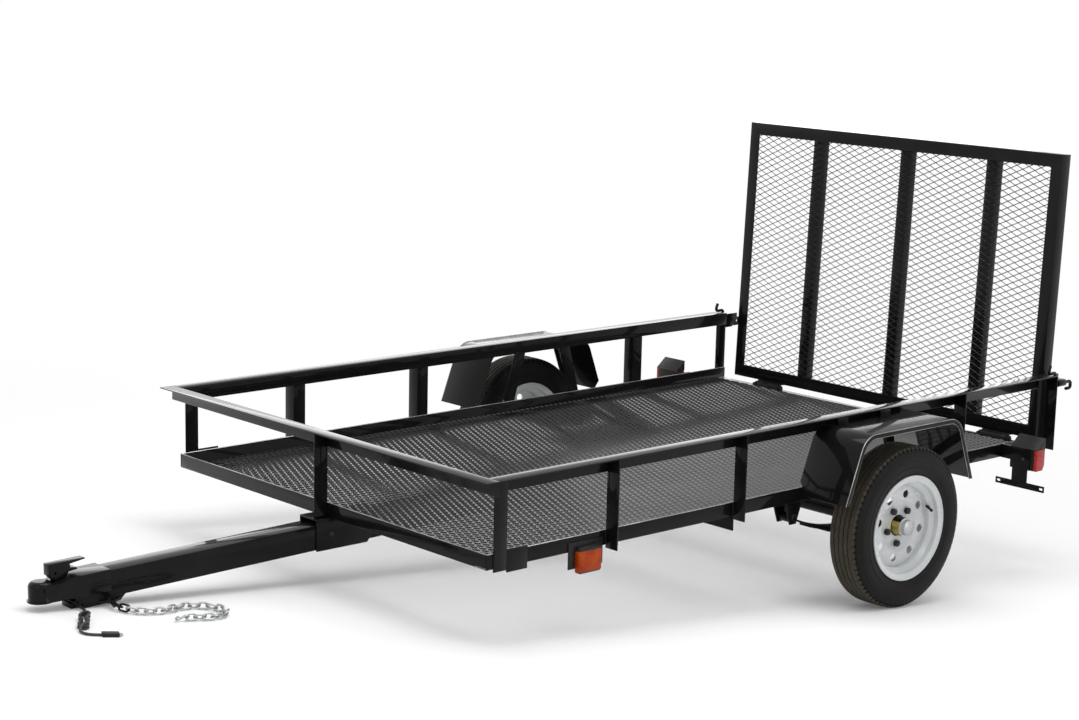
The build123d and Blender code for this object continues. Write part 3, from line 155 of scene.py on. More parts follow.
# ---- node trees
class ShaderTree:
    """A shader tree with short calls to fill it, its nodes laid out in rows."""

    columns, wide, high = 8, 220, 260

    def __init__(self, tree: Tree) -> None:
        """Keeps the tree to fill."""
        self.tree = tree

    def add(self, kind: str, inputs: dict | None = None, **values: object) -> bpy.types.Node:
        """Adds a node.

        Args:
            kind: the node's type name after ShaderNode.
            inputs: values or output sockets for its inputs, by name or index.
            **values: its own properties.

        Returns:
            The node.
        """
        row, column = divmod(len(self.tree.nodes), self.columns)
        node = self.tree.nodes.new(f"ShaderNode{kind}")
        node.location = (self.wide * column, -self.high * row)
        for key, value in values.items():
            setattr(node, key, value)
        for key, value in (inputs or {}).items():
            if isinstance(value, Socket):
                self.tree.links.new(value, node.inputs[key])
            else:
                node.inputs[key].default_value = value
        return node

    def give(self, results: dict) -> Tree:
        """Links a group's results to its output sockets.

        Args:
            results: output sockets of its nodes, by the group's socket names.

        Returns:
            The group's tree.
        """
        end = self.tree.nodes.new("NodeGroupOutput")
        for name, socket in results.items():
            self.tree.links.new(socket, end.inputs[name])
        return self.tree

    def blend(self, share: object, low: object, high: object) -> Socket:
        """Returns the mix of two colours by a share."""
        inputs = {0: share, 6: low, 7: high}
        return self.add("Mix", inputs, data_type="RGBA").outputs[2]

    def noise(self, vector: Socket, scale: object, detail: float = 5.0,
              rough: float = 0.55) -> Socket:
        """Returns a noise of some octaves and strength of the fine ones."""
        inputs = {"Vector": vector, "Scale": scale, "Detail": detail, "Roughness": rough}
        return self.add("TexNoise", inputs).outputs[0]

    def ramp(self, value: object, low: object, high: object, to_low: object = 0.0,
             to_high: object = 1.0) -> Socket:
        """Returns a value whose range is mapped on to another, clamped."""
        inputs = {"Value": value, "From Min": low, "From Max": high, "To Min": to_low,
                  "To Max": to_high}
        return self.add("MapRange", inputs).outputs[0]

    def maths(self, kind: str, first: object, second: object) -> Socket:
        """Returns the result of an operation on two values."""
        return self.add("Math", {0: first, 1: second}, operation=kind).outputs[0]

    def seen(self) -> Socket:
        """Returns one for what is seen straight, through glass or in a reflection."""
        rays = self.add("LightPath").outputs
        seen = self.maths("MAXIMUM", rays["Is Camera Ray"], rays["Is Transmission Ray"])
        return self.maths("MAXIMUM", seen, rays["Is Glossy Ray"])


def emptied(owner: bpy.types.Material | bpy.types.World) -> ShaderTree:
    """Clears the nodes of a material or world.

    Args:
        owner: the material or world.

    Returns:
        Its empty tree.
    """
    owner.use_nodes = True
    owner.node_tree.nodes.clear()
    return ShaderTree(owner.node_tree)


def new_group(name: str, inputs: dict, outputs: dict) -> tuple[ShaderTree, dict]:
    """Starts a shader node group with named sockets.

    Args:
        name: the group's name.
        inputs: socket types by name.
        outputs: socket types by name.

    Returns:
        The group's tree and its input sockets.
    """
    tree = bpy.data.node_groups.new(name, "ShaderNodeTree")
    for sockets, way in ((inputs, "INPUT"), (outputs, "OUTPUT")):
        for socket, kind in sockets.items():
            tree.interface.new_socket(socket, in_out=way, socket_type=kind)
    return ShaderTree(tree), tree.nodes.new("NodeGroupInput").outputs


VALUE, COLOUR, VECTOR = "NodeSocketFloat", "NodeSocketColor", "NodeSocketVector"


@cache
def dust_group() -> Tree:
    """Returns the group that lays thin dust, thicker near the floor, over a colour."""
    shader, given = new_group(
        "road_dust", {"Vector": VECTOR, "Clean": COLOUR, "Dust": COLOUR, "Amount": VALUE,
                      "Height": VALUE, "Grain": VALUE}, {"Colour": COLOUR, "Mask": VALUE})
    place = shader.add("SeparateXYZ", {0: given["Vector"]}).outputs[2]
    low = shader.ramp(place, given["Height"], 0.0, to_low=0.25)
    broad = shader.noise(given["Vector"], 3.1)
    fine = shader.noise(given["Vector"], given["Grain"], detail=6.0, rough=0.7)
    patches = shader.ramp(shader.maths("MULTIPLY", broad, fine), 0.16, 0.42)
    mask = shader.maths("MULTIPLY", shader.maths("MULTIPLY", patches, low), given["Amount"])
    colour = shader.blend(mask, given["Clean"], given["Dust"])
    return shader.give({"Colour": colour, "Mask": mask})


@cache
def gloss_group() -> Tree:
    """Returns the group that breaks up a gloss with faint haze and wiped streaks."""
    shader, given = new_group(
        "gloss_breakup", {"Vector": VECTOR, "Low": VALUE, "High": VALUE, "Scale": VALUE,
                          "Mask": VALUE}, {"Roughness": VALUE})
    streak = shader.add("Mapping", {"Vector": given["Vector"],
                                    "Scale": (0.35, 1.0, 2.2)}).outputs[0]
    haze = shader.noise(streak, given["Scale"], rough=0.6)
    level = shader.ramp(haze, 0.3, 0.7, given["Low"], given["High"])
    dusty = shader.maths("ADD", level, shader.maths("MULTIPLY", given["Mask"], 0.45))
    return shader.give({"Roughness": dusty})


@cache
def skin_group() -> Tree:
    """Returns the group that gives a coat its orange peel or a casting its grain."""
    shader, given = new_group(
        "skin_relief", {"Vector": VECTOR, "Scale": VALUE, "Pits": VALUE}, {"Height": VALUE})
    peel = shader.noise(given["Vector"], given["Scale"], detail=2.0, rough=0.5)
    cells = shader.add("TexVoronoi", {"Vector": given["Vector"],
                                      "Scale": given["Scale"]}).outputs[0]
    pits = shader.maths("MULTIPLY", shader.ramp(cells, 0.0, 0.35, 1.0, 0.0), given["Pits"])
    return shader.give({"Height": shader.maths("SUBTRACT", peel, pits)})


# ---- finishes
DUST_TOP = 0.9
DUST_GRAIN = 46.0
HAZE_SCALE = 6.0
SKIN_ON_RIDGES = 0.15


@dataclass(frozen=True)
class Finish:
    """A painted, plated, moulded or cast surface with dust, haze and fine relief."""

    name: str
    slot: Slot
    base: Colour
    second: Colour
    dust: Colour = (0.21, 0.185, 0.15)
    dust_amount: float = 0.12
    gloss: Pair = (0.18, 0.3)
    metallic: float = 0.0
    specular: float = 0.5
    coat: float = 0.0
    coat_haze: float = 0.05
    coat_ior: float = 1.5
    mottle: float = 9.0
    peel: float = 420.0
    pits: float = 0.0
    depth: float = 0.0002
    ridges: float = 0.0

    @cache
    def material(self) -> bpy.types.Material:
        """Returns the finish's material, built on first use."""
        made = bpy.data.materials.new(self.name)
        shader = emptied(made)
        place = shader.add("TexCoord").outputs["Object"]
        blotch = shader.ramp(shader.noise(place, self.mottle), 0.35, 0.68)
        clean = shader.blend(blotch, (*self.base, 1.0), (*self.second, 1.0))
        dust = shader.add("Group", {
            "Vector": place, "Clean": clean, "Dust": (*self.dust, 1.0),
            "Amount": self.dust_amount, "Height": DUST_TOP, "Grain": DUST_GRAIN},
            node_tree=dust_group())
        gloss = shader.add("Group", {
            "Vector": place, "Low": self.gloss[0], "High": self.gloss[1],
            "Scale": HAZE_SCALE, "Mask": dust.outputs["Mask"]}, node_tree=gloss_group())
        height = shader.add("Group", {
            "Vector": place, "Scale": self.peel, "Pits": self.pits},
            node_tree=skin_group()).outputs["Height"]
        if self.ridges:
            wave = shader.add("TexWave", {"Vector": place, "Scale": self.ridges,
                                          "Distortion": 0.0}, bands_direction="Z")
            skin = shader.maths("MULTIPLY", height, SKIN_ON_RIDGES)
            height = shader.maths("ADD", skin, wave.outputs[1])
        bump = shader.add("Bump", {"Height": height, "Strength": 1.0, "Distance": self.depth})
        surface = shader.add("BsdfPrincipled", {
            "Base Color": dust.outputs["Colour"], "Roughness": gloss.outputs["Roughness"],
            "Normal": bump.outputs[0], "Metallic": self.metallic,
            "Specular IOR Level": self.specular, "Coat Weight": self.coat,
            "Coat Roughness": self.coat_haze, "Coat IOR": self.coat_ior})
        shader.add("OutputMaterial", {"Surface": surface.outputs[0]})
        return made


GLOSS_BLACK = Finish(
    "gloss_black_paint", Slot.BLACK_PAINT, (0.0042, 0.0041, 0.0047), (0.007, 0.0067, 0.0072),
    dust=(0.1, 0.09, 0.075), dust_amount=0.01, gloss=(0.3, 0.42), specular=0.04, coat=1.0,
    coat_ior=1.2, depth=0.000018, peel=140.0)
# painted highlight: a pale metallic finish for upward-facing bevels and fender beads, standing in
# for the light they catch
EDGE_HIGHLIGHT_PAINT = Finish(
    "painted_edge_highlight", Slot.BLACK_PAINT, (0.24, 0.235, 0.22), (0.52, 0.5, 0.46), metallic=0.75,
    gloss=(0.2, 0.3), depth=0.00003, mottle=14.0, dust_amount=0.02)
MESH_BLACK = Finish(
    "mesh_black_paint", Slot.BLACK_PAINT, (0.0055, 0.0055, 0.006), (0.01, 0.0098, 0.01),
    gloss=(0.2, 0.34), specular=0.2, coat=0.8, coat_haze=0.12, coat_ior=1.3, depth=0.00005,
    dust_amount=0.03)
WHEEL_WHITE = Finish(
    "wheel_white_paint", Slot.WHITE_PAINT, (0.62, 0.645, 0.66), (0.68, 0.7, 0.71),
    dust=(0.42, 0.4, 0.36), dust_amount=0.14, gloss=(0.2, 0.34), coat=0.3, depth=0.00016,
    peel=300.0)
RUBBER = Finish(
    "tyre_rubber", Slot.TYRE, (0.0045, 0.0044, 0.0043), (0.0075, 0.0072, 0.007),
    dust=(0.06, 0.052, 0.04), dust_amount=0.06, gloss=(0.46, 0.6), specular=0.14, depth=0.0003,
    peel=700.0, pits=0.3)
TREAD = Finish(
    "tyre_tread_rubber", Slot.TYRE, (0.034, 0.029, 0.02), (0.052, 0.044, 0.03),
    dust=(0.15, 0.12, 0.08), dust_amount=0.2, gloss=(0.6, 0.8), specular=0.3, depth=0.0005,
    peel=500.0, pits=0.5)
ZINC = Finish(
    "zinc_plate", Slot.ZINC, (0.42, 0.43, 0.44), (0.56, 0.57, 0.575), metallic=1.0,
    gloss=(0.28, 0.46), peel=320.0, pits=0.2, mottle=60.0, dust_amount=0.1)
BARE_STEEL = Finish(
    "worn_bare_steel", Slot.BARE_STEEL, (0.24, 0.235, 0.23), (0.34, 0.33, 0.32), metallic=1.0,
    gloss=(0.34, 0.5), mottle=40.0, dust_amount=0.16)
DARK_STEEL = Finish(
    "blacked_steel", Slot.ZINC, (0.02, 0.02, 0.021), (0.045, 0.043, 0.042), metallic=0.8,
    gloss=(0.3, 0.46), mottle=60.0)
# painted reflection: a gold metallic finish laid on one side of the hub nose
GOLD_REFLECTION_PAINT = Finish(
    "painted_gold_reflection", Slot.ZINC, (0.36, 0.27, 0.06), (0.5, 0.41, 0.13), metallic=0.9,
    gloss=(0.3, 0.44), peel=300.0, mottle=40.0, dust_amount=0.08)
RED_LENS = Finish(
    "red_acrylic", Slot.RED_LENS, (0.3, 0.002, 0.003), (0.5, 0.006, 0.006), gloss=(0.12, 0.2),
    specular=0.3, coat=0.4, coat_ior=1.3, depth=0.0012, ridges=55.0, mottle=28.0, dust_amount=0.02)
AMBER_LENS = Finish(
    "amber_acrylic", Slot.AMBER_LENS, (0.32, 0.032, 0.001), (0.5, 0.07, 0.002),
    gloss=(0.16, 0.26), specular=0.12, coat=0.2, coat_ior=1.25, depth=0.0006, ridges=42.0,
    mottle=22.0, dust_amount=0.01)
BLACK_PLASTIC = Finish(
    "moulded_plastic", Slot.BLACK_PLASTIC, (0.0085, 0.0085, 0.009), (0.013, 0.013, 0.0135),
    gloss=(0.3, 0.42), specular=0.2, depth=0.00018, peel=900.0, pits=0.5)
CABLE_JACKET = Finish(
    "cable_jacket", Slot.CABLE, (0.016, 0.0155, 0.015), (0.025, 0.024, 0.022), gloss=(0.36, 0.5),
    specular=0.45, peel=600.0)


# ---- modelling helpers
def select_none() -> None:
    """Leaves edit mode and deselects every object."""
    if bpy.context.object is not None and bpy.context.object.mode != "OBJECT":
        bpy.ops.object.mode_set(mode="OBJECT")
    bpy.ops.object.select_all(action="DESELECT")


def pick(*pieces: Piece) -> None:
    """Selects some pieces and nothing else, and makes the first the active one.

    Args:
        *pieces: the pieces to select.
    """
    select_none()
    for piece in pieces:
        piece.select_set(True)
    bpy.context.view_layer.objects.active = pieces[0]


def named(name: str) -> Piece:
    """Names the active object and its data, and returns it."""
    bpy.context.object.name = bpy.context.object.data.name = name
    return bpy.context.object


def add(operator: Callable, name: str, **values: object) -> Piece:
    """Adds a primitive mesh with nothing else selected.

    Args:
        operator: the operator that adds it.
        name: the piece's name.
        **values: the operator's settings.

    Returns:
        The new piece.
    """
    select_none()
    operator(**values)
    return named(name)


def link(name: str, data: bpy.types.ID) -> Piece:
    """Makes an object of the scene from its data.

    Args:
        name: the object's name.
        data: its mesh, curve, lamp or camera.

    Returns:
        The new object.
    """
    made = bpy.data.objects.new(name, data)
    bpy.context.scene.collection.objects.link(made)
    return made


def edit(piece: Piece, part: Part = Part.FACES, wanted: Callable | None = None) -> None:
    """Enters edit mode with everything selected, or only what a test accepts.

    Args:
        piece: the mesh to edit.
        part: what is selected.
        wanted: the test, which takes one vertex or face.
    """
    pick(piece)
    mesh = piece.data
    if wanted is not None:
        for item in (*mesh.vertices, *mesh.edges, *mesh.polygons):
            item.select = False
        for item in mesh.vertices if part is Part.POINTS else mesh.polygons:
            item.select = bool(wanted(item))
    bpy.ops.object.mode_set(mode="EDIT")
    bpy.ops.mesh.select_mode(type=part.value)
    if wanted is None:
        bpy.ops.mesh.select_all(action="SELECT")


def done() -> None:
    """Leaves edit mode."""
    bpy.ops.object.mode_set(mode="OBJECT")


def cut(piece: Piece, point: Vector, normal: Vector, clear: bool = False,
        fill: bool = False) -> None:
    """Cuts a mesh by a plane.

    Args:
        piece: the mesh to cut.
        point: a point of the plane.
        normal: the plane's normal.
        clear: takes away what lies on the normal's side.
        fill: closes the cut.
    """
    edit(piece)
    bpy.ops.mesh.bisect(plane_co=point, plane_no=normal, clear_outer=clear, use_fill=fill)
    done()


def modify(piece: Piece, kind: str, **values: object) -> None:
    """Adds a modifier and applies it.

    Args:
        piece: the mesh to change.
        kind: the modifier's type.
        **values: its settings.
    """
    pick(piece)
    modifier = piece.modifiers.new(kind.title(), kind)
    for key, value in values.items():
        setattr(modifier, key, value)
    bpy.ops.object.modifier_apply(modifier=modifier.name)


def ease(piece: Piece, width: float, degrees: float, segments: int = 2) -> None:
    """Bevels the edges of a piece that are sharper than an angle."""
    modify(piece, "BEVEL", width=width, segments=segments, limit_method="ANGLE",
           angle_limit=math.radians(degrees))


def smooth(piece: Piece, degrees: float) -> None:
    """Shades a piece smooth but for the edges that are sharper than an angle."""
    pick(piece)
    bpy.ops.object.shade_smooth_by_angle(angle=math.radians(degrees))


def settle(piece: Piece, place: Matrix = Matrix()) -> None:
    """Moves a piece and puts its place into its mesh, so that its object is at the origin.

    Args:
        piece: the finished mesh.
        place: the matrix that puts it where it belongs.
    """
    piece.matrix_world = place @ piece.matrix_world
    pick(piece)
    bpy.ops.object.transform_apply(location=True, rotation=True, scale=True)


def merge(pieces: list[Piece], name: str) -> Piece:
    """Joins several meshes into one piece.

    Args:
        pieces: the meshes, at least two.
        name: the joined piece's name.

    Returns:
        The joined piece.
    """
    pick(*pieces)
    bpy.ops.object.join()
    return named(name)


def twin(piece: Piece, name: str, place: Matrix) -> Piece:
    """Copies a piece with its own mesh.

    Args:
        piece: the pattern.
        name: the copy's name.
        place: matrix applied to the copy's mesh.

    Returns:
        The copy.
    """
    pick(piece)
    bpy.ops.object.duplicate()
    copy = named(name)
    copy.data.transform(place)
    return copy


def copy_of_node(node: str, ending: str) -> Piece:
    """Copies a CAD node's mesh into a new object with its loose triangles merged.

    Args:
        node: the CAD node.
        ending: what the new piece's name adds to the node's.

    Returns:
        The new piece.
    """
    piece = link(f"{node}_{ending}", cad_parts[node].data.copy())
    piece.data.materials.clear()
    edit(piece, Part.POINTS)
    bpy.ops.mesh.remove_doubles(threshold=2e-6)
    bpy.ops.mesh.dissolve_limited(angle_limit=math.radians(0.6))
    done()
    return piece


def tube(name: str, points: list[Vector], radius: float, kind: str, rounding: int) -> Piece:
    """Makes a curve with a round section.

    Args:
        name: the curve's name.
        points: its control points.
        radius: half its thickness.
        kind: the spline's type.
        rounding: how finely its section is divided.

    Returns:
        The curve object.
    """
    data = bpy.data.curves.new(name, "CURVE")
    data.dimensions = "3D"
    data.bevel_depth = radius
    data.bevel_resolution = rounding
    data.use_fill_caps = True
    spline = data.splines.new(kind)
    spline.points.add(len(points) - 1)
    for point, place in zip(spline.points, points):
        point.co = (*place, 1.0)
    return link(name, data)


def paint(piece: Piece, finishes: tuple[Finish, ...], choose: Callable[[Face], int]) -> None:
    """Gives each face of a piece one of several finishes.

    Args:
        piece: the mesh to paint.
        finishes: the finishes, in the order of their numbers.
        choose: a function that returns the number of a face's finish.
    """
    for finish in finishes:
        piece.data.materials.append(finish.material())
    for face in piece.data.polygons:
        face.material_index = int(choose(face))


def sort_in(piece: Piece, finish: Finish, *nodes: str, body: Body = Body.CHASSIS) -> Piece:
    """Dresses a finished piece, gives it its body and hides the CAD nodes that it replaces.

    Args:
        piece: the finished piece, painted already or not.
        finish: its finish, or its main one.
        *nodes: CAD nodes that it replaces.
        body: the body it rides on.

    Returns:
        The piece.
    """
    if not piece.data.materials:
        piece.data.materials.append(finish.material())
    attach(piece, body.value)
    if nodes:
        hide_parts(*nodes)
    LOG.info("%s: %d faces on %s", piece.name, len(getattr(piece.data, "polygons", [])),
             body.value)
    return piece


def park(pieces: list[Piece], name: str, finish: Finish, degrees: float | None = None) -> None:
    """Joins pieces made on the level chassis, parks them and sorts them in.

    Args:
        pieces: the meshes, at least two.
        name: the joined piece's name.
        finish: its finish.
        degrees: the angle up to which it is shaded smooth, unless its pieces are.
    """
    whole = merge(pieces, name)
    settle(whole, chassis_place())
    if degrees is not None:
        smooth(whole, degrees)
    sort_in(whole, finish)


# ---- stage and camera
@dataclass(frozen=True)
class Studio:
    """Pale floor, soft light from above and a camera in front on the left."""

    eye: Point = (4.9306559, 5.34819, 1.5780862)
    right: Point = (-0.7428647, 0.6634001, 0.0897353)
    up: Point = (-0.0237632, -0.1600920, 0.9868160)
    ahead: Point = (-0.6690197, -0.7309384, -0.1346912)
    lens: float = 76.2593
    sensor: float = 36.0
    offset: Pair = (0.010797, 0.019416)
    clip: Pair = (0.05, 200.0)
    backdrop_way: Point = (-0.68, -0.72, 0.1)
    backdrop_edge: Pair = (-0.35, 0.45)
    backdrop_low: float = 0.07
    sky_edge: Pair = (0.25, 0.85)
    sky_high: float = 0.75
    floor_size: float = 120.0
    floor_fade: Pair = (1.4, 5.0)
    floor_glow: float = 0.1
    aim: Point = (-0.2, 0.0, 0.4)
    lamps: tuple[tuple[str, Point, Pair, float], ...] = (
        ("softbox_above", (0.2, 0.6, 4.2), (4.0, 2.6), 120.0),
        ("softbox_front", (5.4, 2.2, 2.6), (2.2, 1.6), 20.0),
        ("softbox_left", (-1.0, 5.6, 2.4), (2.6, 1.6), 30.0),
        ("softbox_behind", (-3.2, -4.4, 2.0), (7.0, 1.9), 50.0))

    def camera(self) -> None:
        """Places the camera."""
        data = bpy.data.cameras.new("camera")
        data.sensor_fit = "HORIZONTAL"
        data.sensor_width = self.sensor
        data.lens = self.lens
        data.shift_x, data.shift_y = self.offset
        data.clip_start, data.clip_end = self.clip
        camera = link("camera", data)
        axes = Matrix((self.right, self.up, [-v for v in self.ahead])).transposed()
        camera.matrix_world = Matrix.Translation(self.eye) @ axes.to_4x4()
        bpy.context.scene.camera = camera

    def world(self) -> None:
        """Lights the scene from a white backdrop that is darker on the camera's side."""
        world = bpy.data.worlds.new("studio")
        bpy.context.scene.world = world
        shader = emptied(world)
        towards = shader.add("TexCoord").outputs["Generated"]
        side = shader.add("VectorMath", {0: towards, 1: self.backdrop_way},
                          operation="DOT_PRODUCT").outputs["Value"]
        height = shader.add("SeparateXYZ", {0: towards}).outputs[2]
        back = shader.ramp(side, *self.backdrop_edge, self.backdrop_low, 1.0)
        above = shader.ramp(height, *self.sky_edge, 0.0, self.sky_high)
        level = shader.maths("MAXIMUM", shader.maths("MAXIMUM", back, above), shader.seen())
        light = shader.add("Background", {"Color": (1, 1, 1, 1), "Strength": level})
        shader.add("OutputWorld", {"Surface": light.outputs[0]})

    def floor(self) -> None:
        """Lays the pale floor, which fades into the white background."""
        floor = add(bpy.ops.mesh.primitive_plane_add, "floor", size=self.floor_size)
        material = bpy.data.materials.new("pale_floor")
        shader = emptied(material)
        place = shader.add("TexCoord").outputs["Object"]
        far = shader.add("VectorMath", {0: place}, operation="LENGTH")
        glow = shader.ramp(far.outputs["Value"], *self.floor_fade, self.floor_glow, 1.0)
        share = shader.maths("MULTIPLY", shader.seen(), glow)
        matt = shader.add("BsdfDiffuse", {"Color": (0.9, 0.9, 0.9, 1)})
        white = shader.add("Emission", {"Color": (1, 1, 1, 1), "Strength": 1.0})
        mixed = shader.add("MixShader", {0: share, 1: matt.outputs[0], 2: white.outputs[0]})
        shader.add("OutputMaterial", {"Surface": mixed.outputs[0]})
        floor.data.materials.append(material)

    def lamp(self, name: str, place: Point, size: Pair, watts: float) -> None:
        """Hangs a soft rectangular lamp that faces the trailer.

        Args:
            name: the lamp's name.
            place: where it hangs.
            size: its width and height.
            watts: its power.
        """
        data = bpy.data.lights.new(name, "AREA")
        data.shape = "RECTANGLE"
        data.size, data.size_y = size
        data.energy = watts
        lamp = link(name, data)
        lamp.visible_camera = False
        lamp.matrix_world = shift(*place) @ aimed(Vector(self.aim) - Vector(place), "-Z")

    def build(self) -> None:
        """Sets up camera, world, floor and lamps."""
        bpy.context.scene.view_settings.view_transform = "Standard"
        self.camera()
        self.world()
        self.floor()
        for lamp in self.lamps:
            self.lamp(*lamp)


# ---- painted steel
@dataclass(frozen=True)
class Steelwork:
    """Folded, rolled and welded steel whose edges are eased by a small bevel."""

    members: tuple[tuple[float, tuple[str, ...]], ...] = (
        (0.0018, ("frame_left", "frame_right", "frame_front", "frame_rear")),
        (0.0012, ("cross_members",)),
        (0.0016, ("rail_left", "rail_right", "rail_front")),
        (0.0011, ("posts_left", "posts_right", "post_front")),
        (0.0012, ("tongue_tube", "tongue_saddle", "fender_braces")),
        (0.0008, ("lamp_brackets", "hinge_brackets")),
        (0.0009, ("coupler_body", "coupler_latch", "chain_plate")),
        (0.0008, ("spring_hangers",)),
        (0.0006, ("spring_shackles", "axle_clamps", "axle_beam")),
        (0.0005, ("leaf_spring_left", "leaf_spring_right")),
        (0.001, ("fender_left", "fender_right")),
        (0.0007, ("gate_latches",)),
        (0.0011, ("gate_frame", "gate_uprights")),
        (0.0008, ("gate_hinge_barrels",)))
    folding: tuple[str, ...] = ("gate_frame", "gate_uprights", "gate_hinge_barrels")
    bars: tuple[str, ...] = ("axle_clamps", "gate_latches")
    # these members get a painted highlight on their upward-facing bevels
    highlit: tuple[str, ...] = ("frame_left", "frame_right", "frame_front")
    highlight_slope: Pair = (0.3, 0.97)

    def rub(self, piece: Piece) -> None:
        """Paints a highlight on the bevelled upper edges of a member: a pale metallic finish on
        the faces that look upward.

        Args:
            piece: the bevelled member.
        """
        up = chassis_place().to_3x3() @ Vector((0, 0, 1))
        low, high = self.highlight_slope
        paint(piece, (GLOSS_BLACK, EDGE_HIGHLIGHT_PAINT),
              lambda face: low < face.normal.dot(up) < high)

    def build(self) -> None:
        """Copies, bevels and paints every member."""
        for width, nodes in self.members:
            for node in nodes:
                piece = copy_of_node(node, "painted")
                ease(piece, width, 38)
                smooth(piece, 50 if node in self.bars else 40)
                if node in self.highlit:
                    self.rub(piece)
                body = Body.GATE if node in self.folding else Body.CHASSIS
                sort_in(piece, GLOSS_BLACK, node, body=body)


# ---- expanded metal
# the sheet's own x and y as it lies in the bed and as it stands in the gate
LYING = Matrix(((0, 1, 0), (1, 0, 0), (0, 0, -1))).to_4x4()
STANDING = Matrix(((0, 0, 1), (1, 0, 0), (0, 1, 0))).to_4x4()


@dataclass(frozen=True)
class ExpandedSheet:
    """Raised expanded metal: zigzag strands that meet at the ends of each diamond."""

    node: str
    body: Body
    middle: Point
    width: float
    height: float
    long_way: float = 0.0508
    short_way: float = 0.0234
    strand: float = 0.003
    thick: float = 0.0016
    tilt: float = 38.0

    def strand_pair(self) -> Piece:
        """Returns one diamond's length of two neighbouring strands."""
        half, rise = self.long_way / 2, self.short_way / 2
        pair = add(bpy.ops.mesh.primitive_plane_add, "strand", size=1.0)
        for step in (stretch(self.thick, self.strand, 1), turn(90, "Y"),
                     turn(self.tilt, "X"), shift(0, rise, 0)):
            pair.data.transform(step)
        edit(pair)
        for way in (-rise, rise):
            bpy.ops.mesh.extrude_region_move(TRANSFORM_OT_translate={"value": (half, way, 0)})
        done()
        edit(pair, wanted=lambda face: abs(face.normal.x) > 0.999)
        bpy.ops.mesh.delete(type="ONLY_FACE")
        done()
        other = twin(pair, "strand_other", shift(half, rise, 0))
        return merge([pair, other], f"{self.node}_sheet")

    def build(self, place: Matrix, axes: Matrix) -> None:
        """Repeats the strands over the sheet, cuts its border and puts it in place.

        Args:
            place: matrix of what carries the sheet.
            axes: matrix that lays or stands the sheet.
        """
        sheet = self.strand_pair()
        columns = math.ceil(self.width / self.long_way) + 2
        rows = math.ceil(self.height / self.short_way) + 2
        for count, step, joined in ((columns, (self.long_way, 0, 0), True),
                                    (rows, (0, self.short_way, 0), False)):
            modify(sheet, "ARRAY", count=count, use_relative_offset=False,
                   use_constant_offset=True, constant_offset_displace=step,
                   use_merge_vertices=joined, merge_threshold=1e-5)
        sheet.data.transform(shift(-columns * self.long_way / 2,
                                   -rows * self.short_way / 2, 0))
        for reach, way in ((self.width / 2, Vector((1, 0, 0))),
                           (self.height / 2, Vector((0, 1, 0)))):
            for normal in (way, -way):
                cut(sheet, reach * normal, normal, clear=True)
        settle(sheet, place @ shift(*self.middle) @ axes)
        sort_in(sheet, MESH_BLACK, self.node, body=self.body)


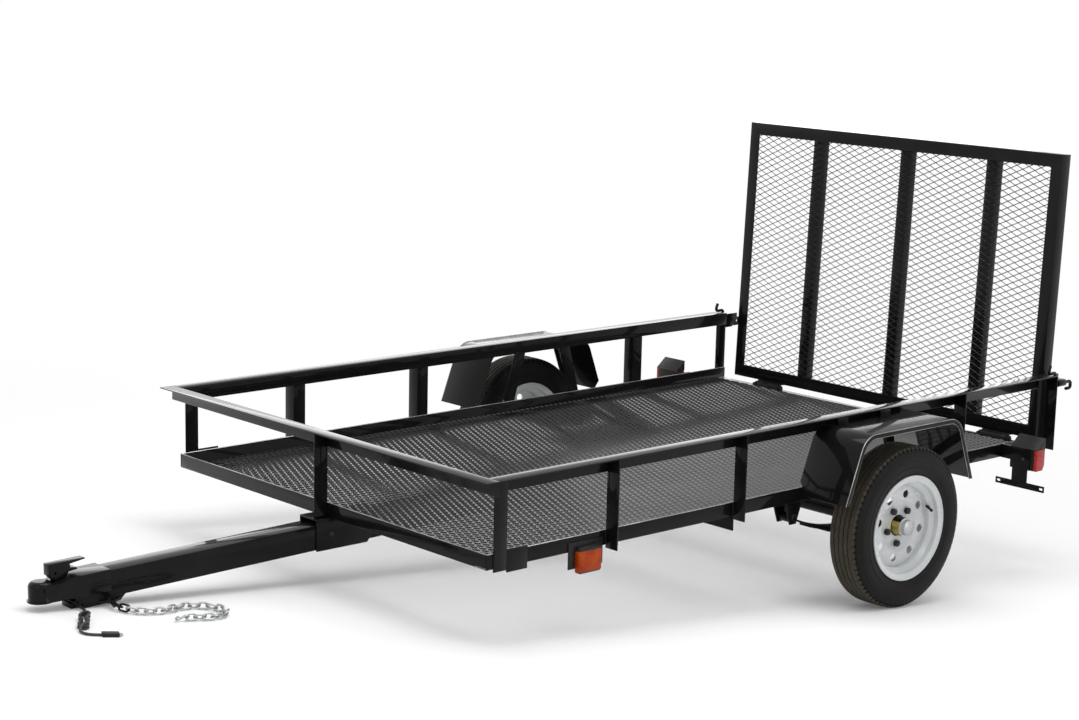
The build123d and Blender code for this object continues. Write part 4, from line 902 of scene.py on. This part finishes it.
# ---- wheels
@dataclass(frozen=True)
class Tyre:
    """Trailer tyre with zigzag grooves, notched shoulders and ribbed sidewalls."""

    side: Side
    steps: int = 240
    crown: float = TYRE_RADIUS
    groove_depth: float = 0.006
    groove_half: float = 0.0022
    groove_foot: float = 0.6
    grooves: tuple[float, ...] = (0.027, 0.009, -0.009, -0.027)
    zigzag: float = 0.0014
    zigzag_every: int = 4
    notch_depth: float = 0.0035
    notch_every: int = 3
    shoulder: Pair = (0.0440, 0.0512)
    shoulder_radius: float = 0.2475
    groove_radius: float = 0.25
    tread_radius: float = 0.2505
    bead: Pair = (0.037, 0.1531)
    sidewall: tuple[Pair, ...] = (
        (0.0504, 0.1531), (0.0528, 0.1600), (0.0534, 0.1707), (0.0552, 0.1720),
        (0.0572, 0.1790), (0.0586, 0.1880), (0.0597, 0.1930), (0.0607, 0.1936),
        (0.0609, 0.1962), (0.0600, 0.1968), (0.0606, 0.2040), (0.0609, 0.2110),
        (0.0604, 0.2180), (0.0594, 0.2250), (0.0591, 0.2262), (0.0598, 0.2270),
        (0.0591, 0.2300), (0.0579, 0.2308), (0.0566, 0.2368), (0.0548, 0.2420),
        (0.0535, 0.2430), (0.0515, 0.2478), (0.0490, 0.2528), (0.0468, 0.2560),
        (0.0440, 0.2588))

    def profile(self) -> list[Pair]:
        """Returns the half-open section from one bead over the tread to the other."""
        half, floor = self.groove_half, self.crown - self.groove_depth
        foot = half * self.groove_foot
        tread = [(middle + y, radius) for middle in self.grooves for y, radius in (
            (half, self.crown), (foot, floor), (-foot, floor), (-half, self.crown))]
        near = [self.bead, *self.sidewall]
        return [*near, *tread, *((-y, radius) for y, radius in reversed(near))]

    def build(self) -> None:
        """Spins the section round the axle, cuts the tread and sets the tyre in place."""
        tyre = add(bpy.ops.mesh.primitive_plane_add, f"tyre_{self.side.name}_moulded",
                   size=0.01)
        edit(tyre, Part.POINTS)
        bpy.ops.mesh.merge(type="CENTER")
        points = [Vector((0, y, radius)) for y, radius in self.profile()]
        bpy.ops.transform.translate(value=points[0])
        for before, after in zip(points, points[1:]):
            bpy.ops.mesh.extrude_vertices_move(
                TRANSFORM_OT_translate={"value": after - before})
        bpy.ops.mesh.select_all(action="SELECT")
        bpy.ops.mesh.edge_face_add()
        bpy.ops.mesh.delete(type="ONLY_FACE")
        bpy.ops.mesh.select_all(action="SELECT")
        bpy.ops.mesh.spin(steps=self.steps, angle=2 * math.pi, center=(0, 0, 0),
                          axis=(0, 1, 0))
        done()
        edit(tyre)
        bpy.ops.mesh.remove_doubles(threshold=1e-6)
        bpy.ops.mesh.normals_make_consistent(inside=False)
        done()
        self.wave(tyre)
        self.notch(tyre)
        smooth(tyre, 28)
        paint(tyre, (RUBBER, TREAD), lambda face: self.radius(face.center) > self.tread_radius)
        place = shift(*axle_point(self.side))
        if self.side.sign < 0:
            place = place @ turn(180, "Z")
        settle(tyre, place)
        sort_in(tyre, RUBBER, f"tyre_{self.side.name}", body=self.side.wheel)

    @staticmethod
    def radius(place: Vector) -> float:
        """Returns a place's distance from the tyre's own axis."""
        return math.hypot(place.x, place.z)

    def step(self, place: Vector) -> float:
        """Returns how many steps of the spin a place lies round the axis."""
        return math.atan2(place.x, place.z) / (2 * math.pi) * self.steps

    def wave(self, tyre: Piece) -> None:
        """Moves the grooves' edges to and fro to make them zigzag.

        Args:
            tyre: the spun tyre, about the origin.
        """
        reach = max(self.grooves) + self.groove_half + 1e-4
        for step, move in ((1, self.zigzag), (3, -self.zigzag)):
            edit(tyre, Part.POINTS, lambda point: (
                abs(point.co.y) < reach and self.radius(point.co) > self.groove_radius
                and round(self.step(point.co)) % self.zigzag_every == step))
            bpy.ops.transform.translate(value=(0, move, 0))
            done()

    def notch(self, tyre: Piece) -> None:
        """Presses short notches into both shoulders.

        Args:
            tyre: the spun tyre, about the origin.
        """
        inner, outer = self.shoulder
        edit(tyre, wanted=lambda face: (
            inner < abs(face.center.y) < outer
            and self.radius(face.center) > self.shoulder_radius
            and math.floor(self.step(face.center)) % self.notch_every == 0))
        bpy.ops.mesh.extrude_region_shrink_fatten(
            TRANSFORM_OT_shrink_fatten={"value": -self.notch_depth})
        done()


@dataclass(frozen=True)
class Wheel:
    """White steel wheel with its hub, nuts and valve."""

    side: Side
    cap_radius: float = 0.0315
    cap_end: float = 0.0412
    flange_face: float = 0.0095
    reflection_way: Pair = (0.8, -0.6)
    reflection_share: float = 0.35
    valve_radius: float = 0.0058
    valve_foot: float = 0.006
    valve_rings: tuple[Pair, ...] = (
        (0.72, 0.006), (0.9, 0.012), (1.0, 0.002), (1.25, 0.001), (1.0, 0.009), (0.75, 0.002))
    valve_turn: float = 155.0
    valve_reach: Pair = (0.1335, 0.027)
    valve_lean: Pair = (0.48, 0.88)

    def build(self) -> None:
        """Dresses the rim and hub and adds the valve."""
        rim = copy_of_node(f"rim_{self.side.name}", "painted")
        ease(rim, 0.0006, 45)
        smooth(rim, 35)
        sort_in(rim, WHEEL_WHITE, f"rim_{self.side.name}", body=self.side.wheel)
        hub = copy_of_node(f"hub_{self.side.name}", "dressed")
        ease(hub, 0.0007, 40)
        smooth(hub, 35)
        paint(hub, (DARK_STEEL, ZINC, GLOSS_BLACK, GOLD_REFLECTION_PAINT), self.hub_finish)
        sort_in(hub, ZINC, f"hub_{self.side.name}", body=self.side.wheel)
        self.valve()

    def hub_finish(self, face: Face) -> int:
        """Tells apart blacked nuts, a bright dust cap, a black flange and a painted reflection, a
        gold patch on the lower front side of the hub nose.

        Args:
            face: a face of the hub.

        Returns:
            The number of its finish.
        """
        middle = axle_point(self.side)
        round_at = Vector((face.center.x - middle.x, face.center.z - middle.z))
        away = math.hypot(face.center.x - middle.x, face.center.z - middle.z)
        out = self.side.sign * (face.center.y - middle.y)
        if out > self.cap_end and away < self.cap_radius:
            return 1
        if out >= self.flange_face and away >= self.cap_radius:
            return 0
        # painted reflection: nose faces turned to the lower front are gold, standing in for a tint
        # they reflect
        plated = round_at.dot(Vector(self.reflection_way)) > self.reflection_share * away
        return 3 if plated and out > self.flange_face else 2

    def valve(self) -> None:
        """Adds the rubber valve stem with its cap, through the barrel."""
        stem = add(bpy.ops.mesh.primitive_cylinder_add, f"valve_{self.side.name}",
                   vertices=20, radius=self.valve_radius, depth=self.valve_foot)
        edit(stem, wanted=lambda face: face.normal.z > 0.9)
        for grow, rise in self.valve_rings:
            bpy.ops.mesh.extrude_region_move(TRANSFORM_OT_translate={"value": (0, 0, rise)})
            bpy.ops.transform.resize(value=(grow, grow, 1.0))
        done()
        smooth(stem, 40)
        angle = math.radians(self.valve_turn)
        outward = Vector((math.cos(angle), 0.0, math.sin(angle)))
        along = Vector((0, self.side.sign, 0))
        inward, outside = self.valve_lean
        lean = (along * outside - outward * inward).normalized()
        reach, ahead = self.valve_reach
        place = axle_point(self.side) + outward * reach + along * ahead
        settle(stem, shift(*place) @ aimed(lean, "Z"))
        sort_in(stem, BLACK_PLASTIC, body=self.side.wheel)


# ---- fenders
@dataclass(frozen=True)
class FenderBead:
    """Rolled bead along both edges of a fender's lip, in a pale finish that paints the highlight
    along it.

    A run is its half lengths at foot and roof, the roof's height and the corners' radius.
    """

    side: Side
    middle: float = -1.571
    outside: float = 0.96995
    foot: float = 0.028
    radius: float = 0.0016
    corner_steps: int = 12
    runs: tuple[tuple[float, float, float, float], ...] = (
        (0.3084, 0.2290, 0.2374, 0.070), (0.2948, 0.2205, 0.2245, 0.056))

    def corner(self, before: Vector, bend: Vector, after: Vector,
               radius: float) -> list[Vector]:
        """Rounds one corner of the bead's line.

        Args:
            before: the point before the corner.
            bend: the sharp corner.
            after: the point after it.
            radius: the rounding.

        Returns:
            Points along the rounding.
        """
        to, away = (before - bend).normalized(), (after - bend).normalized()
        half = to.angle(away) / 2
        reach = radius / math.tan(half)
        centre = bend + (to + away).normalized() * (radius / math.sin(half))
        first, last = bend + to * reach - centre, bend + away * reach - centre
        angle = first.angle(last)
        shares = [step / self.corner_steps for step in range(self.corner_steps + 1)]
        return [centre + (first * math.sin(angle * (1 - share))
                          + last * math.sin(angle * share)) / math.sin(angle)
                for share in shares]

    def line(self, low: float, high: float, roof: float, radius: float) -> list[Vector]:
        """Returns a bead's line from foot to foot, on the level chassis.

        Args:
            low: its half length at the foot.
            high: its half length at the roof.
            roof: the roof's height.
            radius: the corners' rounding.

        Returns:
            The points of the line.
        """
        y = self.side.sign * (self.outside - self.radius)
        sharp = [Vector((self.middle + x, y, z)) for x, z in
                 ((low, self.foot), (high, roof), (-high, roof), (-low, self.foot))]
        return [sharp[0], *self.corner(*sharp[:3], radius),
                *self.corner(*sharp[1:], radius), sharp[3]]

    def build(self) -> None:
        """Makes both beads of the fender."""
        beads = [tube("bead", self.line(*run), self.radius, "POLY", 2) for run in self.runs]
        for bead in beads:
            pick(bead)
            bpy.ops.object.convert(target="MESH")
        # painted highlight: the beads take the pale metallic finish to draw the bright lines along
        # the lip
        park(beads, f"fender_bead_{self.side.name}", EDGE_HIGHLIGHT_PAINT, 60)


# ---- fasteners and welds
@dataclass(frozen=True)
class Fasteners:
    """Hexagon nuts with washers, round screw heads, and their places on the chassis.

    A pin is its x and z. A head is its place on the left, whether it faces sideways, and
    its radius.
    """

    flats: float = 0.0095
    thick: float = 0.0075
    washer: float = 0.0016
    washer_seen: float = 0.0014
    spring_middle: float = 0.733
    spring_reach: float = 0.0282
    pins: tuple[Pair, ...] = (
        (-1.2595, -0.052), (-1.9005, -0.052), (-1.925, -0.022))
    heads: tuple[tuple[Point, bool, float], ...] = (
        ((-0.0080, 0.0432, -0.0505), True, 0.0088), ((-0.1350, 0.0432, -0.0480), True, 0.0088),
        ((-2.3066, 0.8537, 0.0089), False, 0.0058), ((-0.3160, 0.7664, -0.0200), True, 0.0042))

    def nut(self) -> Piece:
        """Returns a chamfered nut on its washer with its bolt's end, on the ground."""
        parts = []
        for name, sides, radius, depth, foot, edge, segments in (
                ("nut", 6, self.flats / 0.866, self.thick, self.washer_seen, 0.0009, 2),
                ("washer", 32, self.flats * 1.32, self.washer, 0.0, 0.0003, 1),
                ("bolt_end", 20, self.flats * 0.62, self.thick + 0.003, 0.001, 0.0008, 2)):
            part = add(bpy.ops.mesh.primitive_cylinder_add, name, vertices=sides,
                       radius=radius, depth=depth, location=(0, 0, depth / 2 + foot))
            ease(part, edge, 50, segments)
            parts.append(part)
        whole = merge(parts, "nut")
        smooth(whole, 35)
        return whole

    def head(self) -> Piece:
        """Returns a shallow round head of unit radius on the ground."""
        head = add(bpy.ops.mesh.primitive_uv_sphere_add, "round_head", segments=28,
                   ring_count=16, radius=1.0)
        head.data.transform(stretch(1, 1, 0.55))
        cut(head, (0, 0, -0.02), (0, 0, -1), clear=True, fill=True)
        smooth(head, 60)
        return head

    def build(self) -> None:
        """Sets the nuts on the spring bolts and the heads on saddle and lamps."""
        nut, head = self.nut(), self.head()
        nuts, heads = [], []
        for sign in (1, -1):
            for x, z in self.pins:
                for end in (1, -1):
                    y = sign * self.spring_middle + end * self.spring_reach
                    nuts.append(twin(nut, "nut_copy", shift(x, y, z) @ turn(-90 * end, "X")))
            for (x, y, z), sideways, radius in self.heads:
                facing = turn(-90 * sign, "X") if sideways else turn(90, "Y")
                heads.append(twin(head, "head_copy", shift(x, sign * y, z) @ facing
                                  @ Matrix.Scale(radius, 4)))
        for pattern in (nut, head):
            bpy.data.objects.remove(pattern)
        park(nuts, "spring_nuts", DARK_STEEL)
        park(heads, "round_heads", DARK_STEEL)


@dataclass(frozen=True)
class WeldBeads:
    """Rippled welds down both edges of every post where it crosses the frame."""

    length: float = 0.038
    radius: float = 0.0029
    ripple: float = 0.0006
    ripples: int = 9
    rings_each: int = 4
    end_share: float = 0.3
    end_slope: float = 12.0
    face: float = 0.762
    middle: float = 0.022
    edges: tuple[float, ...] = (-0.4500, -0.4980, -0.9820, -1.0300, -2.4940)

    def bead(self) -> Piece:
        """Returns one upright bead with its ripples."""
        bead = add(bpy.ops.mesh.primitive_cylinder_add, "weld", vertices=12,
                   radius=self.radius, depth=self.length)
        rings = self.rings_each * self.ripples
        for ring in range(1, rings):
            cut(bead, (0, 0, self.length * (ring / rings - 0.5)), (0, 0, 1))
        for vertex in bead.data.vertices:
            share = vertex.co.z / self.length + 0.5
            wave = abs(math.sin(math.pi * self.ripples * share))
            ends = min(1.0, self.end_slope * min(share, 1 - share) + self.end_share)
            grow = ends * (1 + self.ripple / self.radius * (2 * wave - 1))
            vertex.co.x *= grow
            vertex.co.y *= grow
        smooth(bead, 70)
        return bead

    def build(self) -> None:
        """Lays a bead along every edge of the side posts."""
        pattern = self.bead()
        beads = [twin(pattern, "weld_copy", shift(x, sign * self.face, self.middle))
                 for sign in (1, -1) for x in self.edges]
        bpy.data.objects.remove(pattern)
        park(beads, "post_welds", GLOSS_BLACK)


# ---- lamps
@dataclass(frozen=True)
class SideMarkers:
    """Amber marker lamps: lens windows in black hoods whose top band is partly painted shade, each
    with a round reflector.
    """

    window: Pair = (-0.058, 0.003)
    middle: float = -0.37
    reflector: Point = (-0.3445, 0.7864, -0.0445)
    spread: float = 0.0085
    rim: float = 0.0009
    dome: float = 0.0012

    def lenses(self) -> None:
        """Dresses the lenses, amber in their windows and black above and below; the black above is
        partly the hood's rim and partly painted shade cast by the frame.
        """
        lens = copy_of_node("side_marker_lenses", "dressed")
        place = chassis_place()
        for level in self.window:
            cut(lens, place @ Vector((self.middle, 0, level)),
                place.to_3x3() @ Vector((0, 0, 1)))
        ease(lens, 0.0008, 30, 3)
        smooth(lens, 35)
        # the black band above the window is partly a hood rim and partly painted shade from the
        # frame above
        back, (low, high) = place.inverted(), self.window
        paint(lens, (AMBER_LENS, BLACK_PLASTIC),
              lambda face: not low < (back @ face.center).z < high)
        sort_in(lens, AMBER_LENS, "side_marker_lenses")

    def build(self) -> None:
        """Dresses the lenses and adds the reflectors."""
        self.lenses()
        made = []
        for sign in (1, -1):
            ring = add(bpy.ops.mesh.primitive_torus_add, "reflector_ring",
                       major_radius=self.spread, minor_radius=self.rim,
                       major_segments=36, minor_segments=8)
            glass = add(bpy.ops.mesh.primitive_uv_sphere_add, "reflector_glass",
                        segments=28, ring_count=14, radius=1.0)
            glass.data.transform(stretch(self.spread, self.spread, self.dome))
            x, y, z = self.reflector
            made.append(merge([ring, glass], "reflector"))
            settle(made[-1], shift(x, sign * y, z) @ turn(90, "X"))
        park(made, "side_reflectors", AMBER_LENS, 50)


# ---- chains
@dataclass(frozen=True)
class SafetyChain:
    """Welded round-wire chain and its S-hook, one piece on each solid of its node."""

    side: Side
    length: float = 0.0394
    width: float = 0.025
    wire: float = 0.0031
    black_links: int = 3
    root: Point = (0.755, 0.0525, -0.0857)

    def link(self) -> Piece:
        """Returns one link lying flat with its long way along x."""
        ring = add(bpy.ops.mesh.primitive_torus_add, "chain_link",
                   major_radius=self.width / 2 - self.wire, minor_radius=self.wire,
                   major_segments=24, minor_segments=10)
        half = self.length / 2 - self.width / 2
        for sign in (1, -1):
            edit(ring, Part.POINTS, lambda point: point.co.x * sign > 1e-5)
            bpy.ops.transform.translate(value=(sign * half, 0, 0))
            done()
        smooth(ring, 60)
        return ring

    def solids(self) -> list[Piece]:
        """Returns the solids of the chain's node in their order from the coupler."""
        edit(copy_of_node(f"safety_chain_{self.side.name}", "solids"))
        bpy.ops.mesh.separate(type="LOOSE")
        done()
        parts = [piece for piece in bpy.context.selected_objects if piece.type == "MESH"]
        places = [sum((v.co for v in part.data.vertices), Vector()) / len(part.data.vertices)
                  for part in parts]
        x, y, z = self.root
        here = tongue_place() @ Vector((x, self.side.sign * y, z))
        ordered = []
        while parts:
            near = min(range(len(parts)), key=lambda k: (places[k] - here).length)
            here = places.pop(near)
            ordered.append(parts.pop(near))
        return ordered

    @staticmethod
    def place(part: Piece) -> Matrix:
        """Finds where a link lies.

        Args:
            part: the solid of one link.

        Returns:
            The link's matrix.
        """
        points = np.array([v.co for v in part.data.vertices], float)
        middle = points.mean(0)
        axes = np.linalg.eigh(np.cov((points - middle).T))[1]
        along, across = Vector(axes[:, 2]), Vector(axes[:, 1])
        turned = Matrix((along, across, along.cross(across))).transposed()
        return Matrix.Translation(middle) @ turned.to_4x4()

    def build(self) -> None:
        """Puts a round link on every solid, rounds the hook's rod and joins the chain."""
        pattern = self.link()
        *links, hook = self.solids()
        ease(hook, 0.0022, 60, 4)
        smooth(hook, 55)
        hook.data.materials.append(ZINC.material())
        pieces = [hook]
        for index, part in enumerate(links):
            copy = twin(pattern, f"link_{index}", self.place(part))
            finish = GLOSS_BLACK if index < self.black_links else ZINC
            copy.data.materials.append(finish.material())
            pieces.append(copy)
            bpy.data.objects.remove(part)
        bpy.data.objects.remove(pattern)
        chain = merge(pieces, f"safety_chain_{self.side.name}_links")
        sort_in(chain, ZINC, f"safety_chain_{self.side.name}")


# ---- lighting lead
@dataclass(frozen=True)
class LightingLead:
    """Lighting lead out of its grommet, folded in a tied hank, with a flat plug.

    The hank's layers, lap, start and end are millimetres of the hank's own frame.
    """

    radius: float = 0.004
    # the smooth line's length, as a share of the straight runs between its points
    spline_share: float = 0.97
    lead: tuple[Point, ...] = (
        (1.65903, 0.0316, 0.00972), (1.65603, 0.0576, 0.00701), (1.66303, 0.0816, 0.0043),
        (1.67903, 0.1016, 0.0043))
    tail: tuple[Point, ...] = (
        (1.78269, 0.25145, 0.0046), (1.78414, 0.27423, 0.0043), (1.76988, 0.29279, 0.0043),
        (1.74748, 0.30230, 0.0043))
    start: tuple[Point, ...] = ((0, 0, 4.3), (12, 4, 4.3))
    layers: tuple[float, ...] = (4.3, 12.6, 20.9)
    lap: tuple[Point, ...] = (
        (24, 14, 0), (45, 8, 0), (66, 4.6, 2.2), (87, 8, 0), (108, 14, 0), (122, 10, 0),
        (127, 0, 0), (122, -10, 0), (108, -14, 0), (87, -8, 0), (66, -4.6, 2.2),
        (45, -8, 0), (24, -14, 0))
    last_points: int = 5
    end: tuple[Point, ...] = ((120, 9, 20.9), (129, 1, 20.9), (138, -5, 16), (147, -7, 8))
    hank_foot: Point = (1.69303, 0.1236, 0.0)
    hank_turn: float = 57.5288
    tie_middle: Point = (0.066, 0.0, 0.0148)
    tie_shape: Point = (1.9, 0.82, 1.09)
    contacts: int = 4
    contact_first: Point = (0.049, -0.0082, 0.0058)
    contact_pitch: float = 0.00547
    plug_turn: float = 156.99

    def hank_place(self) -> Matrix:
        """Returns the matrix of the hank's own frame, from where the lead enters it."""
        return shift(*self.hank_foot) @ turn(self.hank_turn, "Z")

    def hank(self) -> list[Point]:
        """Returns the middle line of the folded lead, a full lap on each lower layer."""
        line = [*self.start]
        for level, above in zip(self.layers, self.layers[1:]):
            line += [(x, y, level + z) for x, y, z in self.lap]
            line += [(10, -10, (level + above) / 2), (5, 0, above), (10, 10, above)]
        top = self.layers[-1]
        return [*line, *((x, y, top + z) for x, y, z in self.lap[:self.last_points]),
                *self.end]

    def tie(self) -> Piece:
        """Returns the band round the middle of the hank."""
        tie = add(bpy.ops.mesh.primitive_torus_add, "hank_tie", major_radius=0.0125,
                  minor_radius=0.0012, major_segments=40, minor_segments=10,
                  rotation=(0, math.radians(90), 0))
        settle(tie)
        tie.data.transform(stretch(*self.tie_shape))
        settle(tie, self.hank_place() @ shift(*self.tie_middle))
        smooth(tie, 60)
        return sort_in(tie, BLACK_PLASTIC)

    def pins(self) -> Piece:
        """Returns the flat plug's row of contacts."""
        x, y, z = self.contact_first
        made = [add(bpy.ops.mesh.primitive_cylinder_add, f"contact_{index}", vertices=16,
                    radius=0.0019, depth=0.012, rotation=(0, math.radians(90), 0),
                    location=(x, y + self.contact_pitch * index, z))
                for index in range(self.contacts)]
        pins = merge(made, "plug_contacts")
        settle(pins)
        settle(pins, shift(*self.tail[-1][:2], 0.0) @ turn(self.plug_turn, "Z"))
        smooth(pins, 40)
        return sort_in(pins, BARE_STEEL)

    def build(self) -> None:
        """Makes the lead in one run, its tie and the contacts of its plug."""
        place = self.hank_place()
        points = [*(Vector(point) for point in self.lead),
                  *(place @ (0.001 * Vector(point)) for point in self.hank()),
                  *(Vector(point) for point in self.tail)]
        cord = tube("lighting_lead_cord", points, self.radius, "NURBS", 5)
        spline = cord.data.splines[0]
        spline.order_u = 3
        spline.use_endpoint_u = True
        spline.resolution_u = 8
        sort_in(cord, CABLE_JACKET, "wiring_lead", "wiring_hank", "wiring_tail")
        self.tie()
        self.pins()


# ---- plain dressings
@dataclass(frozen=True)
class Dressing:
    """A CAD node that needs only eased edges and its own finish."""

    node: str
    finish: Finish
    bevel: float

    def build(self) -> None:
        """Copies, bevels and dresses the node."""
        piece = copy_of_node(self.node, "dressed")
        ease(piece, self.bevel, 30, 3)
        smooth(piece, 35)
        sort_in(piece, self.finish, self.node)


DRESSINGS = (
    Dressing("tail_lamp_left", BLACK_PLASTIC, 0.0015),
    Dressing("tail_lamp_right", BLACK_PLASTIC, 0.0015),
    Dressing("tail_lamp_lenses", RED_LENS, 0.0018),
    Dressing("side_marker_bases", BLACK_PLASTIC, 0.0008),
    Dressing("wiring_grommet", BLACK_PLASTIC, 0.0008),
    Dressing("wiring_plug", BLACK_PLASTIC, 0.0012))


def main() -> None:
    """Builds the stage and every piece of the trailer."""
    logging.basicConfig(level=logging.INFO, format="%(name)s: %(message)s")
    Studio().build()
    Steelwork().build()
    bed = ExpandedSheet("floor_mesh", Body.CHASSIS, (-1.25255, 0, 0.0068), 1.5138, 2.4949,
                        strand=0.0056, thick=0.002)
    bed.build(chassis_place(), LYING)
    gate = ExpandedSheet("gate_mesh", Body.GATE, (-0.0063, 0, 0.4975), 1.4414, 0.9864)
    gate.build(gate_place(), STANDING)
    for side in SIDES:
        for part in (Tyre(side), Wheel(side), SafetyChain(side), FenderBead(side)):
            part.build()
    for part in (Fasteners(), WeldBeads(), SideMarkers(), *DRESSINGS, LightingLead()):
        part.build()
    select_none()


if __name__ == "__main__":
    main()
